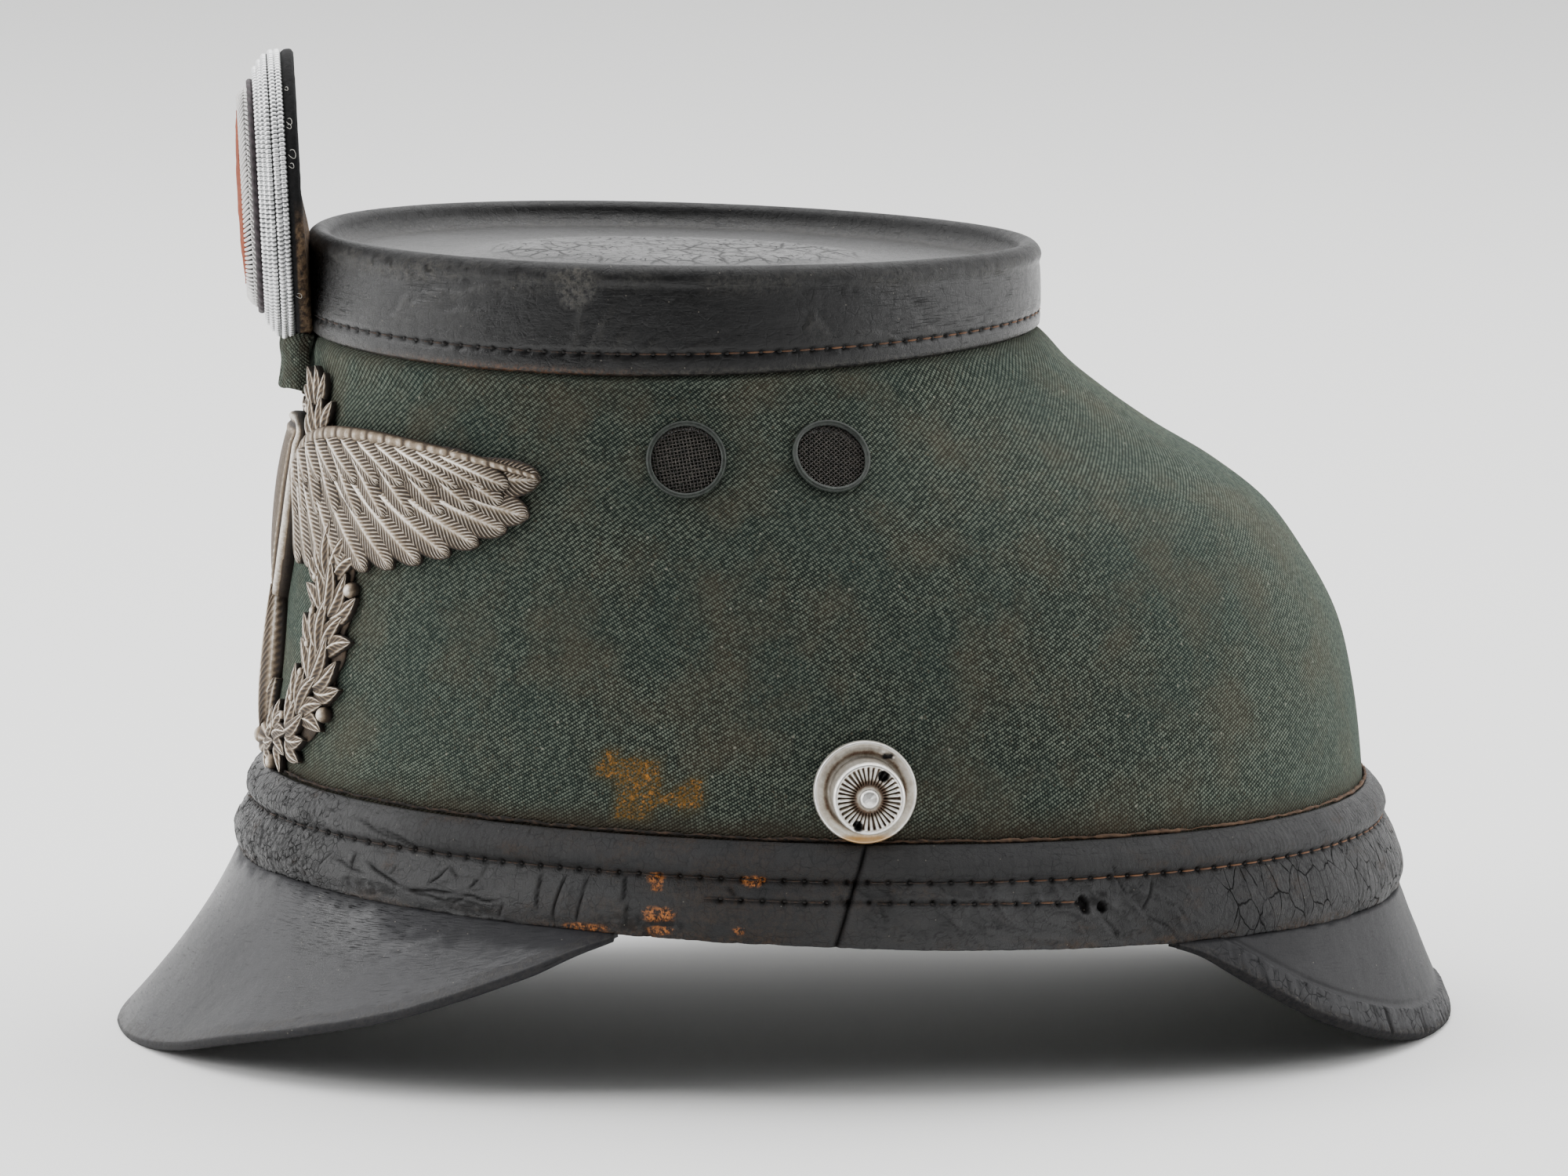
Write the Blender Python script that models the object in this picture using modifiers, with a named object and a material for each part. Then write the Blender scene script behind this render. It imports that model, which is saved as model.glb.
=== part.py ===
"""Shako: a stiff cloth-covered cap with a leather crown, a leather band in two
halves, a front and a rear peak, two wire-gauze vents and a boss on each side,
a pressed metal badge, and an oval cockade held by a prong in a cloth loop.

The front faces -Y and the wearer's left is +X. The tables are in millimetres.
The cap stands on the lowest edge of its two peaks, at z = 0.
"""
from math import acos, cos, pi, radians, sin

import bmesh
import bpy
import numpy as np
from mathutils import Matrix, Vector

MM = 0.001
SEGMENTS = 40         # sides round the cap
GAP = 0.3             # between touching pieces

CLOTH_WALL = 2.4
BAND_WALL = 1.5
CROWN_WALL = 1.4
PEAK_WALL = 2.6
FLANGE_WALL = 1.4     # the peak's sewn edge, behind the band
FLANGE_DEPTH = 6.5
FLANGE_SETBACK = 1.9

# Plan outlines of the cloth body, from its hidden lower edge to its hidden top.
# egg is how much fuller a plan is at the back than at the front, and side_dip
# how far it hangs lower at the sides than at the front and back.
CLOTH_LEVELS = (
    # z_front, z_rear, front_y, rear_y, half_width, egg, side_dip
    (40.5, 32.0, -112.9, 126.6, 92.0, 0.05, 0.0),
    (57.5, 52.0, -110.8, 125.7, 93.6, 0.05, 0.0),
    (72.0, 72.0, -109.3, 123.5, 92.0, 0.04, 0.0),
    (88.0, 88.0, -107.6, 119.6, 88.9, 0.03, 0.0),
    (101.0, 101.0, -106.2, 112.5, 85.0, 0.01, 0.0),
    (111.0, 111.0, -105.1, 105.2, 81.0, -0.01, 0.0),
    (120.0, 120.0, -104.2, 94.0, 77.0, -0.03, 0.0),
    (128.0, 128.0, -103.3, 80.8, 73.2, -0.05, 0.0),
    (136.0, 136.0, -102.4, 69.4, 69.4, -0.07, 0.0),
    (142.5, 142.5, -101.7, 61.4, 66.8, -0.085, 0.0),
    (149.6, 149.3, -100.9, 55.0, 65.2, -0.10, 2.6),
    (150.6, 150.7, -100.0, 53.2, 63.6, -0.10, 2.6),
    (158.0, 156.0, -99.9, 52.9, 63.4, -0.10, 1.0),
)
# Plan outlines of the leather band, from its lower edge up.
BAND_LEVELS = (
    # z_front, z_rear, front_y, rear_y, half_width, egg, side_dip
    (38.6, 29.0, -118.3, 134.1, 97.0, 0.05, 0.0),
    (42.0, 32.8, -119.2, 134.9, 97.6, 0.05, 0.0),
    (46.5, 39.5, -117.9, 133.0, 97.5, 0.05, 0.0),
    (50.6, 45.4, -115.9, 130.4, 97.0, 0.05, 0.0),
    (51.6, 46.4, -116.1, 130.5, 97.4, 0.05, 0.0),
    (56.3, 50.8, -113.8, 128.0, 96.3, 0.05, 0.0),
    (57.3, 51.8, -112.9, 127.3, 95.7, 0.05, 0.0),
)
SEAM_TOP_Y = 9.2      # the slanted seam where the band's halves meet
SEAM_FOOT_Y = 3.2

CROWN_FOOT = (151.0, 151.0, -101.8, 54.9, 65.4, -0.10, 2.6)
CROWN_RIM = (172.4, 168.6, -101.8, 54.9, 65.4, -0.10, 0.0)
CROWN_ROWS = (
    # inset from the crown's side, depth under the rim's top
    (0.0, 4.6),
    (-0.4, 2.6),
    (0.6, 0.8),
    (2.4, 0.0),
    (4.2, 0.8),
    (5.1, 2.7),
    (7.0, 4.7),
    (36.0, 4.5),
    (42.0, 3.5),
    (60.0, 3.3),
)

# Each peak: the point on the band's lower edge, how far the peak's edge stands
# out from there, and the height of that edge.
FRONT_PEAK = (
    # hem_y, overhang, edge_z
    (-42.0, 1.0, 34.3),
    (-47.0, 4.0, 32.6),
    (-56.0, 8.0, 28.1),
    (-66.0, 11.5, 23.3),
    (-78.0, 15.0, 17.7),
    (-92.0, 18.8, 12.4),
    (-104.0, 22.2, 7.4),
    (-112.0, 24.7, 2.6),
    (-116.5, 26.5, 0.4),
    (-118.3, 27.3, 0.0),
)
REAR_PEAK = (
    # hem_y, overhang, edge_z
    (75.0, 0.8, 30.4),
    (80.0, 1.6, 28.0),
    (86.0, 2.6, 23.9),
    (94.0, 4.4, 18.1),
    (102.0, 6.0, 12.3),
    (110.0, 8.0, 7.5),
    (118.0, 9.4, 3.4),
    (124.0, 10.3, 1.0),
    (129.0, 11.0, 0.0),
    (134.1, 11.4, 0.0),
)
FRONT_PEAK_BEND = (0.31, 0.50)   # where its curve is pulled to: share of overhang, of drop
REAR_PEAK_BEND = (0.46, 0.50)
REAR_RIM_WIDTH = 6.0
REAR_RIM_RISE = 0.8
PEAK_SECTIONS = 10               # to each side of the middle
PEAK_END_SHARE = 0.35            # of its wall, where the peak runs out at its ends
PEAK_THICKENING_DROP = 12.0      # the drop over which it gains a whole wall
PEAK_TUCK = 0.2                  # its outer face starts this far behind the band's foot
PEAK_FLANGE_FOOT = 1.6           # the flange's inner face ends this far under the band
PEAK_OUTER_SHARES = (0.0, 0.3, 0.65, 1.0)   # of the way from the band to the raised rim
PEAK_INNER_SHARES = (1.0, 0.8, 0.5, 0.2)    # of the way from the band to the edge
PEAK_EDGE_ROUNDING = (0.25, 0.8)            # the edge's two corners, as shares of the wall
PEAK_RIM_FIRST_SHARE = 0.35      # the rim starts no nearer to the band
PEAK_RIM_STEP = 0.04             # the share over which it rises
FLOOR_CUTTER_SIZE = (400.0, 400.0, 20.0)

VENT_PLACES = (("front", -25.8), ("rear", 4.2))
VENT_Z = 131.2
VENT_HOLE_RADIUS = 7.65
VENT_CUTTER_DEPTH = 16.0
LIFT = GAP + 0.05                # of a piece's back off the cloth
VENT_STEPS = 12
VENT_RING = (
    # radius, height
    (7.0, 1.3),
    (7.9, 1.2),
    (8.25, LIFT),
    (7.35, LIFT),
    (7.35, -2.6),
    (6.9, -2.6),
)
VENT_GAUZE = (
    # radius, height
    (0.0, 0.45),
    (6.6, 0.45),
    (6.6, 0.05),
    (0.0, 0.05),
)
BOSS_Y, BOSS_Z = 9.2, 65.4
BOSS_STEPS = 18
BOSS_BASE = (
    # radius, height
    (0.0, 1.5),
    (7.8, 1.5),
    (8.3, 2.3),
    (9.6, 2.3),
    (10.0, 2.9),
    (10.6, 2.5),
    (10.6, LIFT),
    (0.0, LIFT),
)
BOSS_KNOB = (
    # radius, height
    (0.0, 9.6),
    (1.8, 9.2),
    (2.4, 8.3),
    (6.2, 8.3),
    (6.5, 8.9),
    (7.2, 8.7),
    (7.5, 8.0),
    (7.0, 5.2),
    (7.4, 1.8),
    (0.0, 1.8),
)

COCKADE_Y, COCKADE_Z = -103.4, 179.4
COCKADE_LEAN = radians(2.5)
COCKADE_NARROWER = 8.0           # the half-width is this much less than the half-height
COCKADE_SIDES = 24
COCKADE_BOARD = (
    # half_height, depth
    (30.2, 0.0),
    (31.0, 0.6),
    (31.0, 1.9),
    (30.2, 2.5),
)
COCKADE_OUTER_CORD = (
    # half_height, depth
    (25.4, 2.8),
    (31.2, 2.8),
    (31.1, 4.6),
    (30.0, 6.5),
    (28.0, 8.2),
    (25.4, 9.4),
)
COCKADE_DARK_RING = (
    # half_height, depth
    (23.6, 2.8),
    (25.1, 2.8),
    (25.1, 9.6),
    (24.4, 10.5),
    (23.6, 10.4),
)
COCKADE_INNER_CORD = (
    # half_height, depth
    (19.0, 2.8),
    (23.3, 2.8),
    (23.3, 10.5),
    (22.2, 11.6),
    (20.6, 12.4),
    (19.0, 12.3),
)
COCKADE_CENTER = (
    # half_height, half_width, depth
    (18.7, 10.7, 2.8),
    (18.7, 10.7, 11.8),
    (17.6, 9.9, 12.6),
    (12.5, 7.0, 13.2),
    (5.0, 2.8, 13.4),
)
PRONG_SIZE = (6.0, 1.4, 7.5)
PRONG_PLACE = (0.0, -103.3, 144.3)
LOOP_HEIGHTS = (138.4, 141.3, 144.2, 147.0)
LOOP_HALF_WIDTH = 9.5
LOOP_PROUD = 6.4
LOOP_WALL = 1.5
LOOP_BACK_LIFT = 0.6
LOOP_SQUARENESS = 0.8            # under 1 gives a flatter front

FRONT_RUN_UP = 0.107             # how the cap's front slopes: rise to run, square to it

BADGE_WING = (
    # leading_s, leading_z, trailing_s, trailing_z
    (9.0, 121.0, 11.0, 104.5),
    (17.0, 129.0, 21.0, 103.0),
    (28.0, 132.6, 33.0, 103.6),
    (41.0, 133.6, 47.0, 105.0),
    (54.0, 133.0, 61.0, 108.0),
    (68.0, 131.4, 74.0, 112.4),
    (79.0, 129.4, 84.5, 118.6),
    (87.5, 127.4, 90.0, 124.6),
)
BADGE_FEATHERS = 9
BADGE_WING_ROWS = (
    # share of the feather's length, lift at a shaft, lift between feathers
    (0.00, 1.7, 1.7),
    (0.10, 3.5, 3.4),
    (0.34, 3.1, 2.7),
    (0.38, 2.6, 2.1),
    (0.72, 2.2, 1.5),
    (1.00, 1.6, 1.4),
)
BADGE_WREATH = (
    # s, z, half_width
    (3.0, 62.4, 3.2),
    (14.0, 64.0, 5.0),
    (25.5, 69.6, 7.4),
    (32.6, 80.0, 8.6),
    (35.0, 95.0, 8.6),
    (33.2, 110.0, 8.0),
    (27.0, 124.5, 6.6),
    (19.0, 136.5, 4.6),
    (13.6, 144.6, 1.2),
)
BADGE_LEAVES = 9
BADGE_WREATH_ROWS = (
    # share of the half width, lift at a leaf, lift between leaves
    (-1.0, 1.4, 1.4),
    (-0.5, 2.7, 2.0),
    (0.0, 3.2, 3.2),
    (0.5, 2.7, 2.0),
    (1.0, 1.4, 1.4),
)
BADGE_SHIELD = (
    # z, half_width
    (132.5, 3.0),
    (131.0, 9.2),
    (126.0, 10.6),
    (116.0, 10.4),
    (106.0, 8.8),
    (98.0, 5.8),
    (92.0, 1.4),
)
BADGE_SHIELD_ROWS = (
    # share of the half width, lift
    (-1.0, 2.2),
    (-0.6, 4.7),
    (0.0, 5.8),
    (0.6, 4.7),
    (1.0, 2.2),
)
BADGE_KNOT = (
    # z, half_width
    (58.2, 2.5),
    (59.2, 8.0),
    (62.0, 6.0),
    (65.0, 8.0),
    (66.2, 2.5),
)
BADGE_KNOT_ROWS = (
    # share of the half width, lift
    (-1.0, 2.4),
    (0.0, 4.0),
    (1.0, 2.4),
)


def clear_scene():
    for obj in list(bpy.data.objects):
        bpy.data.objects.remove(obj, do_unlink=True)


def new_collection(name):
    collection = bpy.data.collections.new(name)
    bpy.context.scene.collection.children.link(collection)
    return collection


def make_material(name, colour, roughness, metallic=0.0):
    """A Principled material; the colour is linear."""
    material = bpy.data.materials.new(name)
    material.use_nodes = True
    shader = material.node_tree.nodes["Principled BSDF"]
    shader.inputs["Base Color"].default_value = (*colour, 1.0)
    shader.inputs["Roughness"].default_value = roughness
    shader.inputs["Metallic"].default_value = metallic
    return material


def add_mesh(name, points, faces, material):
    """A smooth-shaded mesh object from points in millimetres, its faces outwards."""
    mesh = bpy.data.meshes.new(name)
    mesh.from_pydata([tuple(MM * c for c in p) for p in points], [], faces)
    editable = bmesh.new()
    editable.from_mesh(mesh)
    bmesh.ops.recalc_face_normals(editable, faces=editable.faces)
    editable.to_mesh(mesh)
    editable.free()
    mesh.materials.append(material)
    mesh.shade_smooth()
    mesh.set_sharp_from_angle(angle=radians(35))
    obj = bpy.data.objects.new(name, mesh)
    HAT.objects.link(obj)
    return obj


def solidify(obj, thickness):
    """Gives an open surface its wall, inwards from the surface."""
    wall = obj.modifiers.new("wall", "SOLIDIFY")
    wall.thickness = thickness * MM
    wall.offset = -1.0
    wall.use_even_offset = True


def smooth_curve(xs, ys, x):
    """A smooth curve through the points (xs, ys), xs rising, read at x."""
    xs, ys = np.asarray(xs, float), np.asarray(ys, float)
    slopes = np.gradient(ys, xs)
    i = np.clip(np.searchsorted(xs, x) - 1, 0, len(xs) - 2)
    step = xs[i + 1] - xs[i]
    q = (x - xs[i]) / step
    return ((1 + 2 * q) * (1 - q) ** 2 * ys[i] + q * (1 - q) ** 2 * step * slopes[i]
            + q * q * (3 - 2 * q) * ys[i + 1] + q * q * (q - 1) * step * slopes[i + 1])


def plan_point(level, turn, grow=0.0, rise=0.0):
    """The point of an egg-shaped plan at an angle from the rear, grown outwards."""
    z_front, z_rear, front_y, rear_y, half_width, egg, side_dip = level
    half_length = (rear_y - front_y) / 2 + grow
    y = (front_y + rear_y) / 2 + half_length * cos(turn)
    x = (half_width + grow) * sin(turn) * (1 + egg * cos(turn))
    z = z_front + (z_rear - z_front) * (y - front_y) / (rear_y - front_y) + rise
    z -= side_dip * sin(turn) ** 2
    return Vector((x, y, z))


def turn_at(level, y):
    """The angle at which a plan on the +X side reaches y."""
    front_y, rear_y = level[2:4]
    share = (y - (front_y + rear_y) / 2) * 2 / (rear_y - front_y)
    return acos(max(-1.0, min(1.0, share)))


def ring(level, grow=0.0, rise=0.0):
    return [plan_point(level, 2 * pi * i / SEGMENTS, grow, rise) for i in range(SEGMENTS)]


def grid_faces(rows, columns, closed=False):
    """Quads between neighbouring rows; closed joins the last column to the first."""
    faces = []
    for r in range(rows - 1):
        for c in range(columns if closed else columns - 1):
            d = (c + 1) % columns
            faces.append((r * columns + c, r * columns + d,
                          (r + 1) * columns + d, (r + 1) * columns + c))
    return faces


def cloth_level(z):
    """The cloth body's plan at a height above the band."""
    table = np.array(CLOTH_LEVELS[1:-1])
    heights = table[:, 0]
    values = [float(smooth_curve(heights, table[:, c], z)) for c in (2, 3, 4, 5)]
    return (z, z, *values, 0.0)


def surface_frame(y, z, side):
    """On the cloth at y and z: a frame whose Z points out of the cloth and Y up."""
    level = cloth_level(z)
    turn = turn_at(level, y)
    place = plan_point(level, turn)
    along = plan_point(level, turn + 0.01) - plan_point(level, turn - 0.01)
    higher, lower = cloth_level(z + 1), cloth_level(z - 1)
    up = plan_point(higher, turn_at(higher, y)) - plan_point(lower, turn_at(lower, y))
    out = up.cross(along).normalized()
    if out.x < 0:
        out.negate()
    across = up.cross(out).normalized()
    up = out.cross(across).normalized()
    frame = Matrix((across, up, out)).transposed().to_4x4()
    frame.translation = place * MM
    if side < 0:
        frame = Matrix.Diagonal((-1, 1, 1, 1)) @ frame @ Matrix.Diagonal((-1, 1, 1, 1))
    return frame


def turned(name, profile, frame, material, steps, hollow=False):
    """A turned piece: a profile of (radius, height) that runs down its outer side."""
    mesh = bpy.data.meshes.new(name)
    points = [(r * MM, 0.0, h * MM) for r, h in profile]
    edges = [(i, i + 1) for i in range(len(points) - 1)]
    if hollow:
        edges.append((len(points) - 1, 0))
    mesh.from_pydata(points, edges, [])
    mesh.materials.append(material)
    obj = bpy.data.objects.new(name, mesh)
    HAT.objects.link(obj)
    obj.matrix_world = frame
    screw = obj.modifiers.new("turn", "SCREW")
    screw.steps = screw.render_steps = steps
    screw.use_merge_vertices = True
    screw.merge_threshold = 0.00001
    screw.use_smooth_shade = True
    return obj


def make_cloth_body(material):
    rings = [ring(level) for level in CLOTH_LEVELS]
    points = [p for row in rings for p in row]
    body = add_mesh("cloth_body", points, grid_faces(len(rings), SEGMENTS, True), material)
    solidify(body, CLOTH_WALL)
    for side, side_name in ((1, "left"), (-1, "right")):
        for place, y in VENT_PLACES:
            bpy.ops.mesh.primitive_cylinder_add(vertices=VENT_STEPS, radius=VENT_HOLE_RADIUS * MM,
                                                depth=VENT_CUTTER_DEPTH * MM)
            cutter = bpy.context.object
            cutter.name = f"{side_name}_{place}_vent_cutter"
            cutter.matrix_world = surface_frame(y, VENT_Z, side)
            cutter.hide_render = True
            cutter.display_type = "WIRE"
            for old in list(cutter.users_collection):
                old.objects.unlink(cutter)
            CUTTERS.objects.link(cutter)
            hole = body.modifiers.new(cutter.name, "BOOLEAN")
            hole.object = cutter
    return body


def make_crown(material):
    """The leather crown: a side strip, a rolled rim and a sunk top with a low swell."""
    rings = [ring(CROWN_FOOT)]
    for inset, depth in CROWN_ROWS:
        rings.append(ring(CROWN_RIM, grow=-inset, rise=-depth))
    points = [p for row in rings for p in row]
    faces = grid_faces(len(rings), SEGMENTS, True)
    last = (len(rings) - 1) * SEGMENTS
    faces.append(tuple(range(last, last + SEGMENTS)))
    crown = add_mesh("crown_top", points, faces, material)
    solidify(crown, CROWN_WALL)
    return crown


def make_band(name, front, material):
    """Half of the band, between the slanted seams on the two sides."""
    steps = SEGMENTS // 2
    points = []
    for row, level in enumerate(BAND_LEVELS):
        share = row / (len(BAND_LEVELS) - 1)
        seam_y = SEAM_FOOT_Y + (SEAM_TOP_Y - SEAM_FOOT_Y) * share
        if front:
            start = turn_at(level, seam_y - GAP)
            end = 2 * pi - start
        else:
            end = turn_at(level, seam_y + GAP)
            start = -end
        for i in range(steps + 1):
            points.append(plan_point(level, start + (end - start) * i / steps))
    band = add_mesh(name, points, grid_faces(len(BAND_LEVELS), steps + 1), material)
    solidify(band, BAND_WALL)
    return band


def peak_profile(foot, out, overhang, drop, bend, rim_width, rim_rise):
    """One section of a peak, from the top of its hidden flange round to it again."""
    thickness = PEAK_WALL * min(1.0, PEAK_END_SHARE + drop / PEAK_THICKENING_DROP)
    pulled = Vector((bend[0] * overhang, -bend[1] * drop))
    start, end = Vector((-PEAK_TUCK, -LIFT)), Vector((overhang, -drop))

    def face(s):
        spot = start * (1 - s) ** 2 + pulled * 2 * s * (1 - s) + end * s * s
        tangent = (pulled - start) * (1 - s) + (end - pulled) * s
        tangent.normalize()
        return spot, Vector((-tangent.y, tangent.x))

    length = (end - start).length
    rim_start = max(PEAK_RIM_FIRST_SHARE, 1 - rim_width / length)
    outer = [(share * rim_start, 0.0) for share in PEAK_OUTER_SHARES]
    outer += [(rim_start + PEAK_RIM_STEP, rim_rise), (1.0, rim_rise)]
    upper_corner, lower_corner = PEAK_EDGE_ROUNDING
    section = [Vector((-FLANGE_SETBACK, FLANGE_DEPTH)), Vector((-FLANGE_SETBACK, -GAP))]
    for s, lift in outer:
        spot, normal = face(s)
        section.append(spot + normal * (lift - upper_corner * thickness * (s == 1.0)))
    for s in PEAK_INNER_SHARES:
        spot, normal = face(s)
        section.append(spot - normal * thickness * (lower_corner if s == 1.0 else 1.0))
    section.append(Vector((-FLANGE_SETBACK - FLANGE_WALL, -PEAK_FLANGE_FOOT)))
    section.append(Vector((-FLANGE_SETBACK - FLANGE_WALL, FLANGE_DEPTH)))
    return [foot + out * p.x + Vector((0, 0, p.y)) for p in section]


def make_peak(name, table, bend, rim_width, rim_rise, material):
    """A peak lofted through sections that stand square to the band's lower edge."""
    hem = BAND_LEVELS[0]
    turns = [turn_at(hem, row[0]) for row in table]
    middle = turns[-1]
    order = np.argsort(turns)
    turns_up = np.array(turns)[order]
    overhangs = np.array([row[1] for row in table])[order]
    edges = np.array([row[2] for row in table])[order]
    points = []
    for i in range(-PEAK_SECTIONS, PEAK_SECTIONS + 1):
        turn = middle + (turns[0] - middle) * abs(i) / PEAK_SECTIONS
        overhang = float(smooth_curve(turns_up, overhangs, turn))
        edge = float(smooth_curve(turns_up, edges, turn))
        foot = plan_point(hem, turn)
        along = plan_point(hem, turn + 0.01) - plan_point(hem, turn - 0.01)
        out = Vector((-along.y, along.x, 0.0)).normalized()
        if out.dot(foot - Vector((0, foot.y * 0.5, foot.z))) < 0:
            out.negate()
        if i == 0:
            out = Vector((0, 1 if foot.y > 0 else -1, 0))
        section = peak_profile(foot, out, overhang, foot.z - edge, bend, rim_width, rim_rise)
        if i < 0:
            section = [Vector((-p.x, p.y, p.z)) for p in section]
        points.extend(section)
    sides = len(section)
    rows = 2 * PEAK_SECTIONS + 1
    faces = grid_faces(rows, sides, True)
    faces.append(tuple(reversed(range(sides))))
    faces.append(tuple(range((rows - 1) * sides, rows * sides)))
    if table[0][0] > 0:
        faces = [tuple(reversed(face)) for face in faces]
    peak = add_mesh(name, points, faces, material)
    rest = peak.modifiers.new("flat_where_it_rests", "BOOLEAN")
    rest.object = FLOOR_CUTTER
    return peak


def make_floor_cutter():
    length, width, height = (size * MM for size in FLOOR_CUTTER_SIZE)
    bpy.ops.mesh.primitive_cube_add(size=1.0, location=(0, 0, -height / 2))
    cutter = bpy.context.object
    cutter.name = "floor_cutter"
    cutter.scale = (length, width, height)
    cutter.hide_render = True
    cutter.display_type = "WIRE"
    for old in list(cutter.users_collection):
        old.objects.unlink(cutter)
    CUTTERS.objects.link(cutter)
    return cutter


def make_vents(rim_material, gauze_material):
    for side, side_name in ((1, "left"), (-1, "right")):
        for place, y in VENT_PLACES:
            frame = surface_frame(y, VENT_Z, side)
            name = f"{side_name}_{place}_vent"
            turned(f"{name}_ring", VENT_RING, frame, rim_material, VENT_STEPS, hollow=True)
            turned(f"{name}_gauze", VENT_GAUZE, frame, gauze_material, VENT_STEPS)


def make_bosses(material):
    for side, side_name in ((1, "left"), (-1, "right")):
        frame = surface_frame(BOSS_Y, BOSS_Z, side)
        turned(f"{side_name}_boss_base", BOSS_BASE, frame, material, BOSS_STEPS)
        turned(f"{side_name}_boss_knob", BOSS_KNOB, frame, material, BOSS_STEPS)


def cockade_point(turn, half_height, depth, half_width=None):
    """A point on an oval of the cockade, forwards of its back by depth."""
    if half_width is None:
        half_width = half_height - COCKADE_NARROWER
    up = half_height * cos(turn)
    return Vector((half_width * sin(turn),
                   COCKADE_Y - up * sin(COCKADE_LEAN) - depth * cos(COCKADE_LEAN),
                   COCKADE_Z + up * cos(COCKADE_LEAN) - depth * sin(COCKADE_LEAN)))


def oval_ring(name, profile, material):
    """An oval ring with a closed section of (half height, depth) points."""
    points = []
    for half_height, depth in profile:
        for i in range(COCKADE_SIDES):
            points.append(cockade_point(2 * pi * i / COCKADE_SIDES, half_height, depth))
    count = len(profile)
    faces = grid_faces(count, COCKADE_SIDES, True)
    for i in range(COCKADE_SIDES):
        j = (i + 1) % COCKADE_SIDES
        last = (count - 1) * COCKADE_SIDES
        faces.append((last + i, last + j, j, i))
    return add_mesh(name, points, faces, material)


def oval_disc(name, rows, material):
    """An oval disc from rows of (half height, half width, depth), back to front."""
    points = []
    for half_height, half_width, depth in rows:
        for i in range(COCKADE_SIDES):
            turn = 2 * pi * i / COCKADE_SIDES
            points.append(cockade_point(turn, half_height, depth, half_width))
    faces = grid_faces(len(rows), COCKADE_SIDES, True)
    faces.append(tuple(reversed(range(COCKADE_SIDES))))
    last = (len(rows) - 1) * COCKADE_SIDES
    faces.append(tuple(range(last, last + COCKADE_SIDES)))
    return add_mesh(name, points, faces, material)


def make_cockade(materials):
    board = [(half, half - COCKADE_NARROWER, depth) for half, depth in COCKADE_BOARD]
    oval_disc("cockade_board", board, materials["black_board"])
    oval_ring("cockade_outer_cord", COCKADE_OUTER_CORD, materials["silver_cord"])
    oval_ring("cockade_dark_ring", COCKADE_DARK_RING, materials["dark_cord"])
    oval_ring("cockade_inner_cord", COCKADE_INNER_CORD, materials["braided_cord"])
    oval_disc("cockade_center", COCKADE_CENTER, materials["orange_felt"])


def make_prong(material):
    """The cockade's flat prong, which goes into the cloth loop."""
    place = Vector(PRONG_PLACE) * MM
    bpy.ops.mesh.primitive_cube_add(size=1.0, location=place)
    prong = bpy.context.object
    prong.name = "cockade_prong"
    for vertex in prong.data.vertices:
        vertex.co = [c * size * MM for c, size in zip(vertex.co, PRONG_SIZE)]
    prong.data.materials.append(material)
    for old in list(prong.users_collection):
        old.objects.unlink(prong)
    HAT.objects.link(prong)


def make_loop(material, columns=11):
    """The cloth loop on the cap's front, bowed outwards round the prong."""
    foot = LOOP_BACK_LIFT + LOOP_WALL
    points = []
    for z in LOOP_HEIGHTS:
        for i in range(columns):
            turn = pi * i / (columns - 1)
            lift = foot + (LOOP_PROUD - foot) * sin(turn) ** LOOP_SQUARENESS
            points.append(front_point(LOOP_HALF_WIDTH * cos(turn), z, lift))
    loop = add_mesh("cockade_loop", points, grid_faces(len(LOOP_HEIGHTS), columns), material)
    solidify(loop, LOOP_WALL)


def front_arc(z):
    """Distance round the cloth from its front, for rising angles, at a height."""
    level = cloth_level(z)
    turns = np.linspace(0, 0.55 * pi, 80)
    spots = np.array([plan_point(level, pi - turn) for turn in turns])
    steps = np.linalg.norm(np.diff(spots, axis=0), axis=1)
    return level, turns, np.concatenate(([0.0], np.cumsum(steps)))


def front_point(s, z, lift):
    """A point at distance s round from the cap's front, lifted off the cloth."""
    level, turns, lengths = front_arc(z)
    turn = float(np.interp(abs(s), lengths, turns))
    place = plan_point(level, pi - turn)
    along = plan_point(level, pi - turn - 0.01) - plan_point(level, pi - turn + 0.01)
    out = Vector((along.y, -along.x, 0.0)).normalized()
    out.z = FRONT_RUN_UP
    out.normalize()
    place += out * lift
    return Vector((place.x if s >= 0 else -place.x, place.y, place.z))


def relief_sheet(name, columns, back_lift, material):
    """A closed plate from columns of (s, z, lift) that follows the cap's front."""
    rows = len(columns[0])
    tops = [front_point(s, z, lift) for column in columns for s, z, lift in column]
    backs = [front_point(s, z, back_lift) for column in columns for s, z, lift in column]
    count = len(tops)
    faces = [tuple(reversed(face)) for face in grid_faces(len(columns), rows)]
    faces += [tuple(count + i for i in reversed(face)) for face in faces]
    border = ([c * rows for c in range(len(columns))]
              + [(len(columns) - 1) * rows + r for r in range(1, rows)]
              + [c * rows + rows - 1 for c in reversed(range(len(columns) - 1))]
              + [r for r in reversed(range(1, rows - 1))])
    for i, j in zip(border, border[1:] + border[:1]):
        faces.append((i, j, count + j, count + i))
    return add_mesh(name, tops + backs, faces, material)


def wing_columns(side):
    table = np.array(BADGE_WING)
    places = np.linspace(0, 1, len(table))
    columns = []
    count = 2 * BADGE_FEATHERS
    for i in range(count + 1):
        u = i / count
        lead_s, lead_z, trail_s, trail_z = (smooth_curve(places, table[:, c], u) for c in range(4))
        shaft = i % 2 == 1
        reach = 1.05 if shaft else 0.96
        column = []
        for share, shaft_lift, valley_lift in BADGE_WING_ROWS:
            q = share * reach
            column.append((side * (lead_s + (trail_s - lead_s) * q),
                           lead_z + (trail_z - lead_z) * q,
                           shaft_lift if shaft else valley_lift))
        columns.append(column)
    return columns


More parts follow.
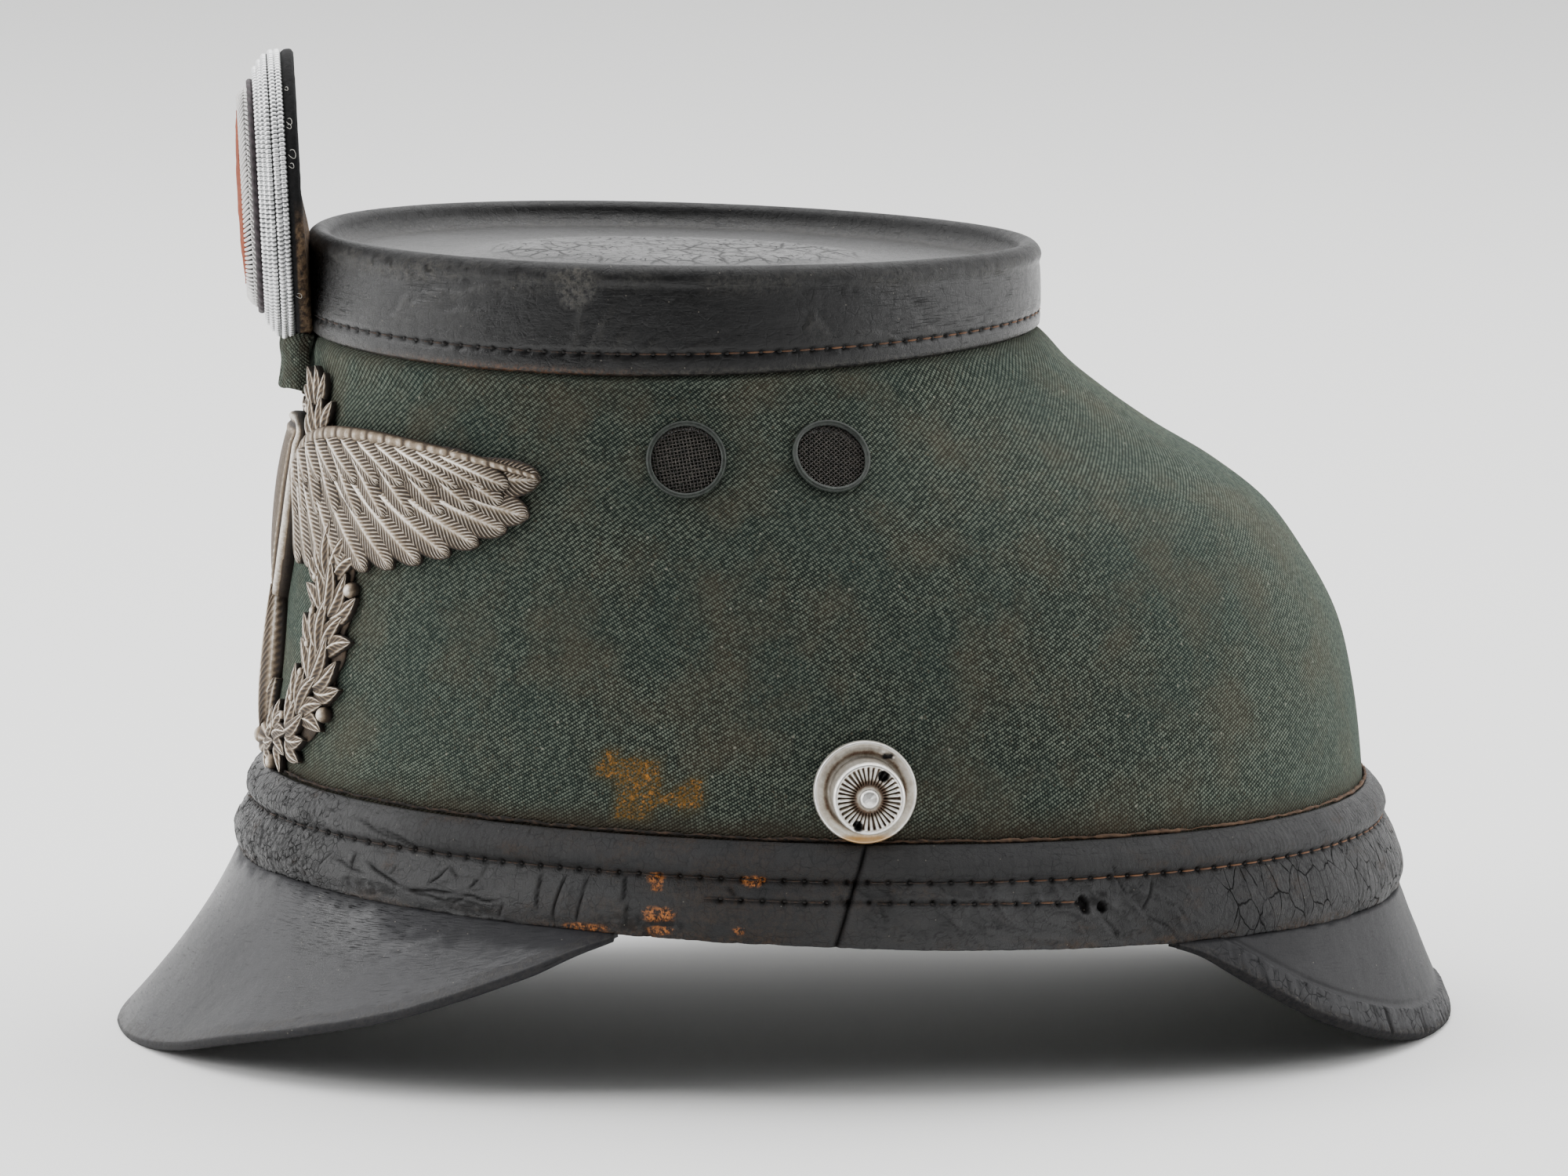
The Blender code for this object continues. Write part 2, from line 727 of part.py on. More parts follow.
def wreath_columns(side):
    table = np.array(BADGE_WREATH)
    places = np.linspace(0, 1, len(table))
    count = 2 * BADGE_LEAVES
    columns = []
    for i in range(count + 1):
        u = i / count
        s, z, half = (float(smooth_curve(places, table[:, c], u)) for c in range(3))
        ahead, behind = min(1.0, u + 0.01), max(0.0, u - 0.01)
        run_s = smooth_curve(places, table[:, 0], ahead) - smooth_curve(places, table[:, 0], behind)
        run_z = smooth_curve(places, table[:, 1], ahead) - smooth_curve(places, table[:, 1], behind)
        length = (run_s ** 2 + run_z ** 2) ** 0.5
        across_s, across_z = run_z / length, -run_s / length
        tip = i % 2 == 1
        half *= 1.08 if tip else 0.82
        columns.append([(side * (s + across_s * half * share), z + across_z * half * share,
                         leaf_lift if tip else valley_lift)
                        for share, leaf_lift, valley_lift in BADGE_WREATH_ROWS])
    return columns


def make_badge(material):
    """One pressed plate: a plain shield between two wings, over a leaf wreath."""
    pieces = []
    for side in (1, -1):
        for maker, back in ((wing_columns, 0.75), (wreath_columns, 0.5)):
            columns = maker(side)
            if side * (1 if maker is wing_columns else -1) < 0:
                columns = columns[::-1]
            pieces.append(relief_sheet("plate", columns, back, material))
    shield = [[(half * share, z, lift) for share, lift in BADGE_SHIELD_ROWS]
              for z, half in BADGE_SHIELD]
    pieces.append(relief_sheet("plate", shield[::-1], 0.6, material))
    knot = [[(half * share, z, lift) for share, lift in BADGE_KNOT_ROWS]
            for z, half in BADGE_KNOT]
    pieces.append(relief_sheet("plate", knot, 0.65, material))
    badge = pieces[0]
    badge.name = "front_badge"
    for piece in pieces[1:]:
        HAT.objects.unlink(piece)
        CUTTERS.objects.link(piece)
        piece.name = "badge_piece"
        piece.hide_render = True
        piece.display_type = "WIRE"
        union = badge.modifiers.new("join", "BOOLEAN")
        union.operation = "UNION"
        union.object = piece
    return badge


clear_scene()
HAT = new_collection("shako")
CUTTERS = new_collection("cutters")
FLOOR_CUTTER = make_floor_cutter()

MATERIALS = {
    "wool_cloth": make_material("wool_cloth", (0.036, 0.050, 0.043), 0.9),
    "black_leather": make_material("black_leather", (0.040, 0.040, 0.043), 0.45),
    "peak_leather": make_material("peak_leather", (0.050, 0.050, 0.053), 0.4),
    "pressed_metal": make_material("pressed_metal", (0.55, 0.50, 0.42), 0.35, 1.0),
    "boss_metal": make_material("boss_metal", (0.62, 0.60, 0.56), 0.35, 1.0),
    "painted_rim": make_material("painted_rim", (0.10, 0.13, 0.10), 0.5, 0.4),
    "wire_gauze": make_material("wire_gauze", (0.06, 0.06, 0.05), 0.5, 0.8),
    "black_board": make_material("black_board", (0.012, 0.012, 0.013), 0.7),
    "silver_cord": make_material("silver_cord", (0.66, 0.66, 0.67), 0.4, 0.6),
    "braided_cord": make_material("braided_cord", (0.25, 0.25, 0.26), 0.5, 0.4),
    "dark_cord": make_material("dark_cord", (0.018, 0.014, 0.017), 0.8),
    "orange_felt": make_material("orange_felt", (0.43, 0.10, 0.042), 0.95),
}

make_cloth_body(MATERIALS["wool_cloth"])
make_crown(MATERIALS["black_leather"])
make_band("front_band", True, MATERIALS["black_leather"])
make_band("rear_band", False, MATERIALS["black_leather"])
make_peak("front_peak", FRONT_PEAK, FRONT_PEAK_BEND, 1.0, 0.0, MATERIALS["peak_leather"])
make_peak("rear_peak", REAR_PEAK, REAR_PEAK_BEND, REAR_RIM_WIDTH, REAR_RIM_RISE,
          MATERIALS["peak_leather"])
make_vents(MATERIALS["painted_rim"], MATERIALS["wire_gauze"])
make_bosses(MATERIALS["boss_metal"])
make_cockade(MATERIALS)
make_prong(MATERIALS["pressed_metal"])
make_loop(MATERIALS["wool_cloth"])
make_badge(MATERIALS["pressed_metal"])
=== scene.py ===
import bmesh
import bpy
import numpy as np
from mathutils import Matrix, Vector


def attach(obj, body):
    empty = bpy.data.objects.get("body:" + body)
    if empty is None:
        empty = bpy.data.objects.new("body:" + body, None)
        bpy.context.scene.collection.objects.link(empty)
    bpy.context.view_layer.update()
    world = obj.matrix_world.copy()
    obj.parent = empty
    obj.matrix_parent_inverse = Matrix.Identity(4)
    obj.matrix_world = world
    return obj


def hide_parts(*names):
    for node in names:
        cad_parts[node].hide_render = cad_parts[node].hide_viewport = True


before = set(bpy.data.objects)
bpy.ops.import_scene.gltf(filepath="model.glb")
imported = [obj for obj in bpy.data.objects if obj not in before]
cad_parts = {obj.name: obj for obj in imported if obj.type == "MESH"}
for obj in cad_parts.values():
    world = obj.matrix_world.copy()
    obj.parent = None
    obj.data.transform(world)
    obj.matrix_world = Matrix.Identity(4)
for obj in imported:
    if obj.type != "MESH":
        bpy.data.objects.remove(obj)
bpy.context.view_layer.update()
mm = 0.001


def hexColour(text):
    # sRGB to linear: c / 12.92 up to 0.04045, above it ((c + 0.055) / 1.055) ^ 2.4
    c = np.array([int(text[i:i + 2], 16) for i in (1, 3, 5)]) / 255
    return (*np.where(c <= 0.04045, c / 12.92, ((c + 0.055) / 1.055) ** 2.4), 1.0)


def ease(q):
    # q^2 (3 - 2 q), with q held between 0 and 1
    q = np.clip(q, 0, 1)
    return q * q * (3 - 2 * q)


def hashed(i, j, seed):
    # the fraction of sin(127.1 i + 311.7 j + 74.7 seed) * 43758.5453: a repeatable 0 to 1
    n = np.sin(i * 127.1 + j * 311.7 + seed * 74.7) * 43758.5453
    return n - np.floor(n)


def noise(u, v, seed):
    # values hashed on the whole-number corners of the plane, eased between them, -1 to 1
    i, j = np.floor(u), np.floor(v)
    a, b = ease(u - i), ease(v - j)
    low = hashed(i, j, seed) * (1 - a) + hashed(i + 1, j, seed) * a
    high = hashed(i, j + 1, seed) * (1 - a) + hashed(i + 1, j + 1, seed) * a
    return (low * (1 - b) + high * b) * 2 - 1


def clouds(u, v, seed, octaves=4):
    # noise at 1, 2, 4... times the scale, weighted 1, 1/2, 1/4...
    total = sum(noise(u * 2 ** k, v * 2 ** k, seed + k) * 0.5 ** k for k in range(octaves))
    return total / (2 - 0.5 ** (octaves - 1))


def cellEdges(u, v, seed):
    # second nearest less nearest distance to one random point per unit square: 0 on a border
    i, j = np.floor(u), np.floor(v)
    near = np.full(np.shape(u), 9.0)
    second = near.copy()
    for di in (-1, 0, 1):
        for dj in (-1, 0, 1):
            ci, cj = i + di, j + dj
            d = np.hypot(ci + hashed(ci, cj, seed) - u, cj + hashed(ci, cj, seed + 5) - v)
            second = np.minimum(second, np.maximum(near, d))
            near = np.minimum(near, d)
    return second - near


def throughTable(xs, ys, x):
    # a Hermite curve through the points (xs, ys), its slopes taken from their neighbours
    xs, ys = np.asarray(xs, float), np.asarray(ys, float)
    slopes = np.gradient(ys, xs, axis=0)
    i = np.clip(np.searchsorted(xs, x) - 1, 0, len(xs) - 2)
    step = xs[i + 1] - xs[i]
    q = (x - xs[i]) / step
    if ys.ndim > 1:
        step, q = step[:, None], q[:, None]
    return ((1 + 2 * q) * (1 - q) ** 2 * ys[i] + q * (1 - q) ** 2 * step * slopes[i]
            + q * q * (3 - 2 * q) * ys[i + 1] + q * q * (q - 1) * step * slopes[i + 1])


def unit(v):
    # each vector over its own length
    return v / np.maximum(np.linalg.norm(v, axis=-1, keepdims=True), 1e-12)


def runAlong(points):
    # the distance along a path up to each of its points, 0 at the first
    return np.concatenate(([0], np.cumsum(np.linalg.norm(np.diff(points, axis=0), axis=-1))))


def gridQuads(rows, columns, closeRows=False, closeColumns=False):
    # the corners of every quad between neighbours (r, c), (r, c+1), (r+1, c+1), (r+1, c)
    r = np.arange(rows if closeRows else rows - 1)[:, None]
    c = np.arange(columns if closeColumns else columns - 1)[None, :]
    r2, c2 = (r + 1) % rows, (c + 1) % columns
    corners = (r * columns + c, r * columns + c2, r2 * columns + c2, r2 * columns + c)
    return np.stack(np.broadcast_arrays(*corners), -1).reshape(-1, 4)


def gridPart(points, closeRows=False, closeColumns=False, uv=None, marks=None,
             capRows=False, capColumns=False):
    # a closed grid as a part of a piece: points (rows, columns, 3) in mm, uv one row and one
    # column longer where it closes, and marks (rows, columns) by name; a cap draws the first
    # and last row or column to their middles
    marks = {name: np.broadcast_to(m, points.shape[:2]) for name, m in (marks or {}).items()}
    if uv is None:
        uv = np.zeros((points.shape[0] + 1, points.shape[1] + 1, 2))
    for axis, cap in ((0, capRows), (1, capColumns)):
        if cap:
            def capped(values, middle=False):
                # the first and last line once more at each end, or their middle
                ends = [np.take(values, [k], axis) for k in (0, -1)]
                if middle:
                    ends = [np.broadcast_to(e.mean(1 - axis, keepdims=True), e.shape) for e in ends]
                return np.concatenate([ends[0], values, ends[1]], axis)
            points, uv = capped(points, True), capped(uv)
            marks = {name: capped(m) for name, m in marks.items()}
    rows, columns = points.shape[:2]
    quads = gridQuads(rows, columns, closeRows, closeColumns)
    flat = points.reshape(-1, 3)
    uvColumns = uv.shape[1]
    r = np.arange(rows if closeRows else rows - 1)[:, None]
    c = np.arange(columns if closeColumns else columns - 1)[None, :]
    corners = (r * uvColumns + c, r * uvColumns + c + 1,
               (r + 1) * uvColumns + c + 1, (r + 1) * uvColumns + c)
    uvCorners = uv.reshape(-1, 2)[np.stack(np.broadcast_arrays(*corners), -1).reshape(-1, 4)]
    a, b, d, e = (flat[quads[:, k]] for k in range(4))
    volume = (np.cross(a, b) * d).sum() + (np.cross(a, d) * e).sum()
    if volume < 0:
        quads, uvCorners = quads[:, ::-1], uvCorners[:, ::-1]
    return flat, quads, uvCorners, {name: m.ravel() for name, m in marks.items()}


def manyParts(points, marks=None, closeRows=False, closeColumns=False):
    # the same grid made many times: points (count, rows, columns, 3)
    count, rows, columns = points.shape[:3]
    quads = gridQuads(rows, columns, closeRows, closeColumns)
    flat = points.reshape(-1, 3)
    one = points[0].reshape(-1, 3)
    one = one - one.mean(0)
    a, b, d, e = (one[quads[:, k]] for k in range(4))
    if (np.cross(a, b) * d).sum() + (np.cross(a, d) * e).sum() < 0:
        quads = quads[:, ::-1]
    quads = (quads[None] + np.arange(count)[:, None, None] * rows * columns).reshape(-1, 4)
    marks = {name: np.broadcast_to(m, points.shape[:3]).ravel() for name, m in (marks or {}).items()}
    return flat, quads, np.zeros((len(quads), 4, 2)), marks


def makePiece(name, parts, material, replaced=(), weld=False):
    # joins parts into one mesh object at the origin that rides on the root body
    starts = np.cumsum([0] + [len(p[0]) for p in parts])
    points = np.concatenate([p[0] for p in parts])
    quads = np.concatenate([p[1] + n for p, n in zip(parts, starts)])
    mesh = bpy.data.meshes.new(name)
    mesh.vertices.add(len(points))
    mesh.vertices.foreach_set("co", (points * mm).astype(np.float32).ravel())
    mesh.loops.add(quads.size)
    mesh.loops.foreach_set("vertex_index", quads.astype(np.int32).ravel())
    mesh.polygons.add(len(quads))
    mesh.polygons.foreach_set("loop_start", np.arange(0, quads.size, 4, dtype=np.int32))
    mesh.update(calc_edges=True)
    layer = mesh.uv_layers.new(name="UVMap")
    layer.data.foreach_set("uv", np.concatenate([p[2] for p in parts]).astype(np.float32).ravel())
    for mark in sorted({key for p in parts for key in p[3]}):
        values = np.concatenate([p[3].get(mark, np.zeros(len(p[0]))) for p in parts])
        attribute = mesh.attributes.new(mark, "FLOAT", "POINT")
        attribute.data.foreach_set("value", values.astype(np.float32))
    if weld:
        editable = bmesh.new()
        editable.from_mesh(mesh)
        bmesh.ops.remove_doubles(editable, verts=editable.verts, dist=1e-6)
        editable.to_mesh(mesh)
        editable.free()
    mesh.polygons.foreach_set("use_smooth", np.ones(len(mesh.polygons), bool))
    mesh.materials.append(material)
    piece = bpy.data.objects.new(name, mesh)
    bpy.context.scene.collection.objects.link(piece)
    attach(piece, "root")
    if replaced:
        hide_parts(*replaced)
    return piece


def gridNormals(points, closeRows=False, closeColumns=False):
    # the cross product of central differences along the columns and the rows
    def along(axis, closed):
        # what lies after less what lies before
        if closed:
            return np.roll(points, -1, axis) - np.roll(points, 1, axis)
        return np.gradient(points, axis=axis)
    return unit(np.cross(along(1, closeColumns), along(0, closeRows)))


def outwards(normals, points, centre):
    # normals turned, all together, to point away from the centre
    return normals * np.sign(((points - centre) * normals).sum())


def tubePoints(path, acrossA, acrossB, radius, sides):
    # path + radius * (cos(a) acrossA + sin(a) acrossB), a once round at each path point
    a = np.linspace(0, 2 * np.pi, sides, endpoint=False)[:, None]
    ring = np.cos(a) * acrossA[..., None, :] + np.sin(a) * acrossB[..., None, :]
    radius = np.asarray(radius, float)
    if radius.ndim < path.ndim:
        radius = radius[..., None]
    return path[..., None, :] + ring * radius[..., None]


def shellPart(outer, normals, wall, closeColumns=False, uv=None, marks=None, innerStep=1, bend=4):
    # the outer face, a half-round edge, the inner face back, and a half-round edge: an edge is
    # the wall's middle + wall / 2 * (cos(a) normal + sin(a) run-out), a from 0 to pi
    a = np.linspace(0, np.pi, bend + 2)[1:-1, None, None]

    def edge(row, before):
        # the half round past an end row
        runOut = unit(outer[row] - outer[before])
        return (outer[row] - normals[row] * wall / 2
                + wall / 2 * (np.cos(a) * normals[row] + np.sin(a) * runOut))
    inner = (outer - normals * wall)[::-1][::innerStep]
    points = np.concatenate([outer, edge(-1, -2), inner, edge(0, 1)[::-1]])

    def ring(values):
        # values carried over the outer face, an edge, the inner face and an edge
        return np.concatenate([values, values[-1:].repeat(bend, 0), values[::-1][::innerStep],
                               values[:1].repeat(bend, 0)])
    uv = np.concatenate([ring(uv), uv[:1]]) if uv is not None else None
    marks = {name: ring(np.broadcast_to(m, outer.shape[:2])) for name, m in (marks or {}).items()}
    return gridPart(points, True, closeColumns, uv, marks, capColumns=not closeColumns)


def scored(s, h, lines, width):
    # lines scored from (s, h) to (s, h): how deep they cut, exp(-(distance / width)^2), and how
    # they lift one bank over the other, tanh(signed distance / 0.5) fading over 2.5 mm
    depth, bank = np.zeros(np.shape(s)), np.zeros(np.shape(s))
    for s0, h0, s1, h1, strength in lines:
        run = np.array([s1 - s0, h1 - h0])
        length = np.hypot(*run)
        along = ((s - s0) * run[0] + (h - h0) * run[1]) / length
        off = ((s - s0) * run[1] - (h - h0) * run[0]) / length
        off = off + 0.45 * noise(along / 3.2 + s0, h0 + 0 * along, 3)
        past = np.maximum(np.maximum(-along, along - length), 0)
        middle = np.clip(along / length, 0, 1)
        taper = np.clip(6 * middle * (1 - middle), 0.3, 1)
        depth = np.maximum(depth, strength * taper * np.exp(-(np.hypot(off, past) / width) ** 2))
        side = strength * taper * np.tanh(off / 0.5) * np.exp(-np.abs(off) / 2.5 - (past / 1.2) ** 2)
        bank = np.where(np.abs(side) > np.abs(bank), side, bank)
    return depth, bank


def patchMark(s, h, patches):
    # 1 inside each patch (s, h, half width, half height), with a ragged edge
    total = np.zeros(np.shape(s))
    for s0, h0, halfS, halfH in patches:
        reach = np.hypot((s - s0) / halfS, (h - h0) / halfH) + 0.35 * clouds(s / 3.0, h / 3.0, 9)
        total = np.maximum(total, 1 - ease((reach - 0.75) / 0.4))
    return total


def stitchPart(places, along, out, length, radius, paleness):
    # thread stitches: at each place a bowed tube along a direction, its radius
    # r * sqrt(1 - q^4) and its rise 0.8 r * (1 - q^2), q from -1 to 1 along it
    q = np.linspace(-0.98, 0.98, 7)
    path = places[:, None] + along[:, None] * (q * length / 2)[:, None]
    path = path + out[:, None] * (0.8 * radius * (1 - q ** 2))[:, None]
    side = np.cross(along, out)
    spread = np.ones((len(places), 1)) * radius * np.sqrt(1 - q ** 4)
    points = tubePoints(path, np.broadcast_to(side[:, None], path.shape),
                        np.broadcast_to(out[:, None], path.shape), spread, 6)
    shade = paleness * (0.7 + 0.6 * hashed(np.arange(len(places)), 0, 2))
    return manyParts(points, {"raised": shade[:, None, None]}, closeColumns=True)


# the outlines of the cloth and the band, as rows from the foot up, and the crown's two edges
clothTable = np.array([
    # zFront, zRear, frontY, rearY, halfWidth, egg, sideDip
    (40.5, 32.0, -112.9, 126.6, 92.0, 0.05, 0.0),
    (57.5, 52.0, -110.8, 125.7, 93.6, 0.05, 0.0),
    (72.0, 72.0, -109.3, 123.5, 92.0, 0.04, 0.0),
    (88.0, 88.0, -107.6, 119.6, 88.9, 0.03, 0.0),
    (101.0, 101.0, -106.2, 112.5, 85.0, 0.01, 0.0),
    (111.0, 111.0, -105.1, 105.2, 81.0, -0.01, 0.0),
    (120.0, 120.0, -104.2, 94.0, 77.0, -0.03, 0.0),
    (128.0, 128.0, -103.3, 80.8, 73.2, -0.05, 0.0),
    (136.0, 136.0, -102.4, 69.4, 69.4, -0.07, 0.0),
    (142.5, 142.5, -101.7, 61.4, 66.8, -0.085, 0.0),
    (149.6, 149.3, -100.9, 55.0, 65.2, -0.10, 2.6),
    (150.6, 150.7, -100.0, 53.2, 63.6, -0.10, 2.6),
    (158.0, 156.0, -99.9, 52.9, 63.4, -0.10, 1.0),
])
bandTable = np.array([
    # zFront, zRear, frontY, rearY, halfWidth, egg, sideDip
    (38.6, 29.0, -118.3, 134.1, 97.0, 0.05, 0.0),
    (42.0, 32.8, -119.2, 134.9, 97.6, 0.05, 0.0),
    (46.5, 39.5, -117.9, 133.0, 97.5, 0.05, 0.0),
    (50.6, 45.4, -115.9, 130.4, 97.0, 0.05, 0.0),
    (51.6, 46.4, -116.1, 130.5, 97.4, 0.05, 0.0),
    (56.3, 50.8, -113.8, 128.0, 96.3, 0.05, 0.0),
    (57.3, 51.8, -112.9, 127.3, 95.7, 0.05, 0.0),
])
crownFoot = np.array([(151.0, 151.0, -101.8, 54.9, 65.4, -0.10, 2.6)])
crownRim = np.array([(172.4, 168.6, -101.8, 54.9, 65.4, -0.10, 0.0)])


def planPoints(rows, turn, grow=0.0):
    # y = middle + half length * cos(turn); x = half width * sin(turn) * (1 + egg * cos(turn));
    # z runs straight from the front's to the rear's, less sideDip * sin(turn)^2
    zFront, zRear, frontY, rearY, halfWidth, egg, dip = (rows[:, [k]] for k in range(7))
    halfLength = (rearY - frontY) / 2 + grow
    y = (frontY + rearY) / 2 + halfLength * np.cos(turn)
    x = (halfWidth + grow) * np.sin(turn) * (1 + egg * np.cos(turn))
    z = zFront + (zRear - zFront) * (y - frontY) / (rearY - frontY) - dip * np.sin(turn) ** 2
    return np.stack(np.broadcast_arrays(x, y, z), -1)


def rowsThrough(table, count):
    # rows between the table's own, evenly spaced along the front's outline
    steps = np.hypot(np.diff(table[:, :2].mean(1)), np.diff(table[:, 3]))
    places = np.concatenate(([0], np.cumsum(steps)))
    return throughTable(places, table, np.linspace(0, places[-1], count))


def evenTurns(row, count):
    # angles that split a plan's outline into equal lengths, from the front round by +X,
    # with the signed distance of each from the front
    fine = np.linspace(np.pi, -np.pi, 4001)
    spots = planPoints(row, fine)[0]
    run = runAlong(spots)
    s = np.linspace(0, run[-1], count, endpoint=False)
    return np.interp(s, run, fine), s, run[-1]


def clothRowAt(z):
    # the cloth body's plan at heights z, as rows
    table = clothTable[1:-1]
    rows = throughTable(table[:, 0], table, z)
    rows[:, 0] = rows[:, 1] = z
    rows[:, 6] = 0
    return rows


def sideFrame(y, z):
    # a place on the cloth's +X side with its outward normal, and the axes across and up it
    def spot(y, z):
        # the turn at y is arccos((y - middle) / half length)
        row = clothRowAt(np.array([z]))
        turn = np.arccos((y - (row[0, 2] + row[0, 3]) / 2) * 2 / (row[0, 3] - row[0, 2]))
        return planPoints(row, turn)[0, 0]
    along = spot(y + 0.5, z) - spot(y - 0.5, z)
    up = spot(y, z + 1) - spot(y, z - 1)
    out = unit(np.cross(along, up))
    across = unit(along - out * (along @ out))
    return spot(y, z), across, np.cross(out, across), out


def addNode(tree, kind, links=None, stops=None, out=0, **settings):
    # one node: settings are its properties, links its sockets by name or number, each given a
    # value, a hex colour or another node's output, and stops a ramp's (place, hex or grey)
    node = tree.nodes.new("ShaderNode" + kind)
    for key, value in settings.items():
        setattr(node, key, value)
    for key, value in (links or {}).items():
        if isinstance(value, bpy.types.NodeSocket):
            tree.links.new(value, node.inputs[key])
        else:
            node.inputs[key].default_value = hexColour(value) if isinstance(value, str) else value
    if stops:
        ramp = node.color_ramp.elements
        while len(ramp) < len(stops):
            ramp.new(0.5)
        for element, (place, colour) in zip(ramp, stops):
            element.position = place
            element.color = hexColour(colour) if isinstance(colour, str) else (colour,) * 3 + (1,)
    return node.outputs[out]


def newMaterial(name):
    # a material, its node tree and its shader's sockets
    material = bpy.data.materials.new(name)
    material.use_nodes = True
    tree = material.node_tree
    return material, tree, tree.nodes["Principled BSDF"].inputs


def mmPlaces(tree, source="Object", turn=0.0, scale=(1, 1, 1)):
    # places on the piece in millimetres; a UV map is in millimetres already
    places = addNode(tree, "TexCoord", out={"Object": 3, "UV": 2}[source])
    factor = 1000.0 if source == "Object" else 1.0
    return addNode(tree, "Mapping", {"Vector": places, "Rotation": (0, 0, turn),
                                     "Scale": tuple(factor * c for c in scale)})


def speckle(tree, places, size, detail=3.0, rough=0.6, stops=((0.35, 0.0), (0.65, 1.0))):
    # noise with features of a size in mm, its contrast set by a ramp
    value = addNode(tree, "TexNoise", {"Vector": places, "Scale": 1.0 / size, "Detail": detail,
                                       "Roughness": rough})
    return addNode(tree, "ValToRGB", {0: value}, stops=stops)


woolLook = {
    "ribTurn": -0.56,         # radians; the twill's ribs rise to the rear
    "ribSpacing": 0.69,       # mm
    "threadLength": 0.63,
    "ribShift": 0.46,         # each rib's start, as a share of a thread's length
    "dark": "#090b09",
    "green": "#292f29",
    "light": "#6c7367",
    "brown": "#514435",
    "teal": "#1f302e",
    "stain": "#a8702f",
}


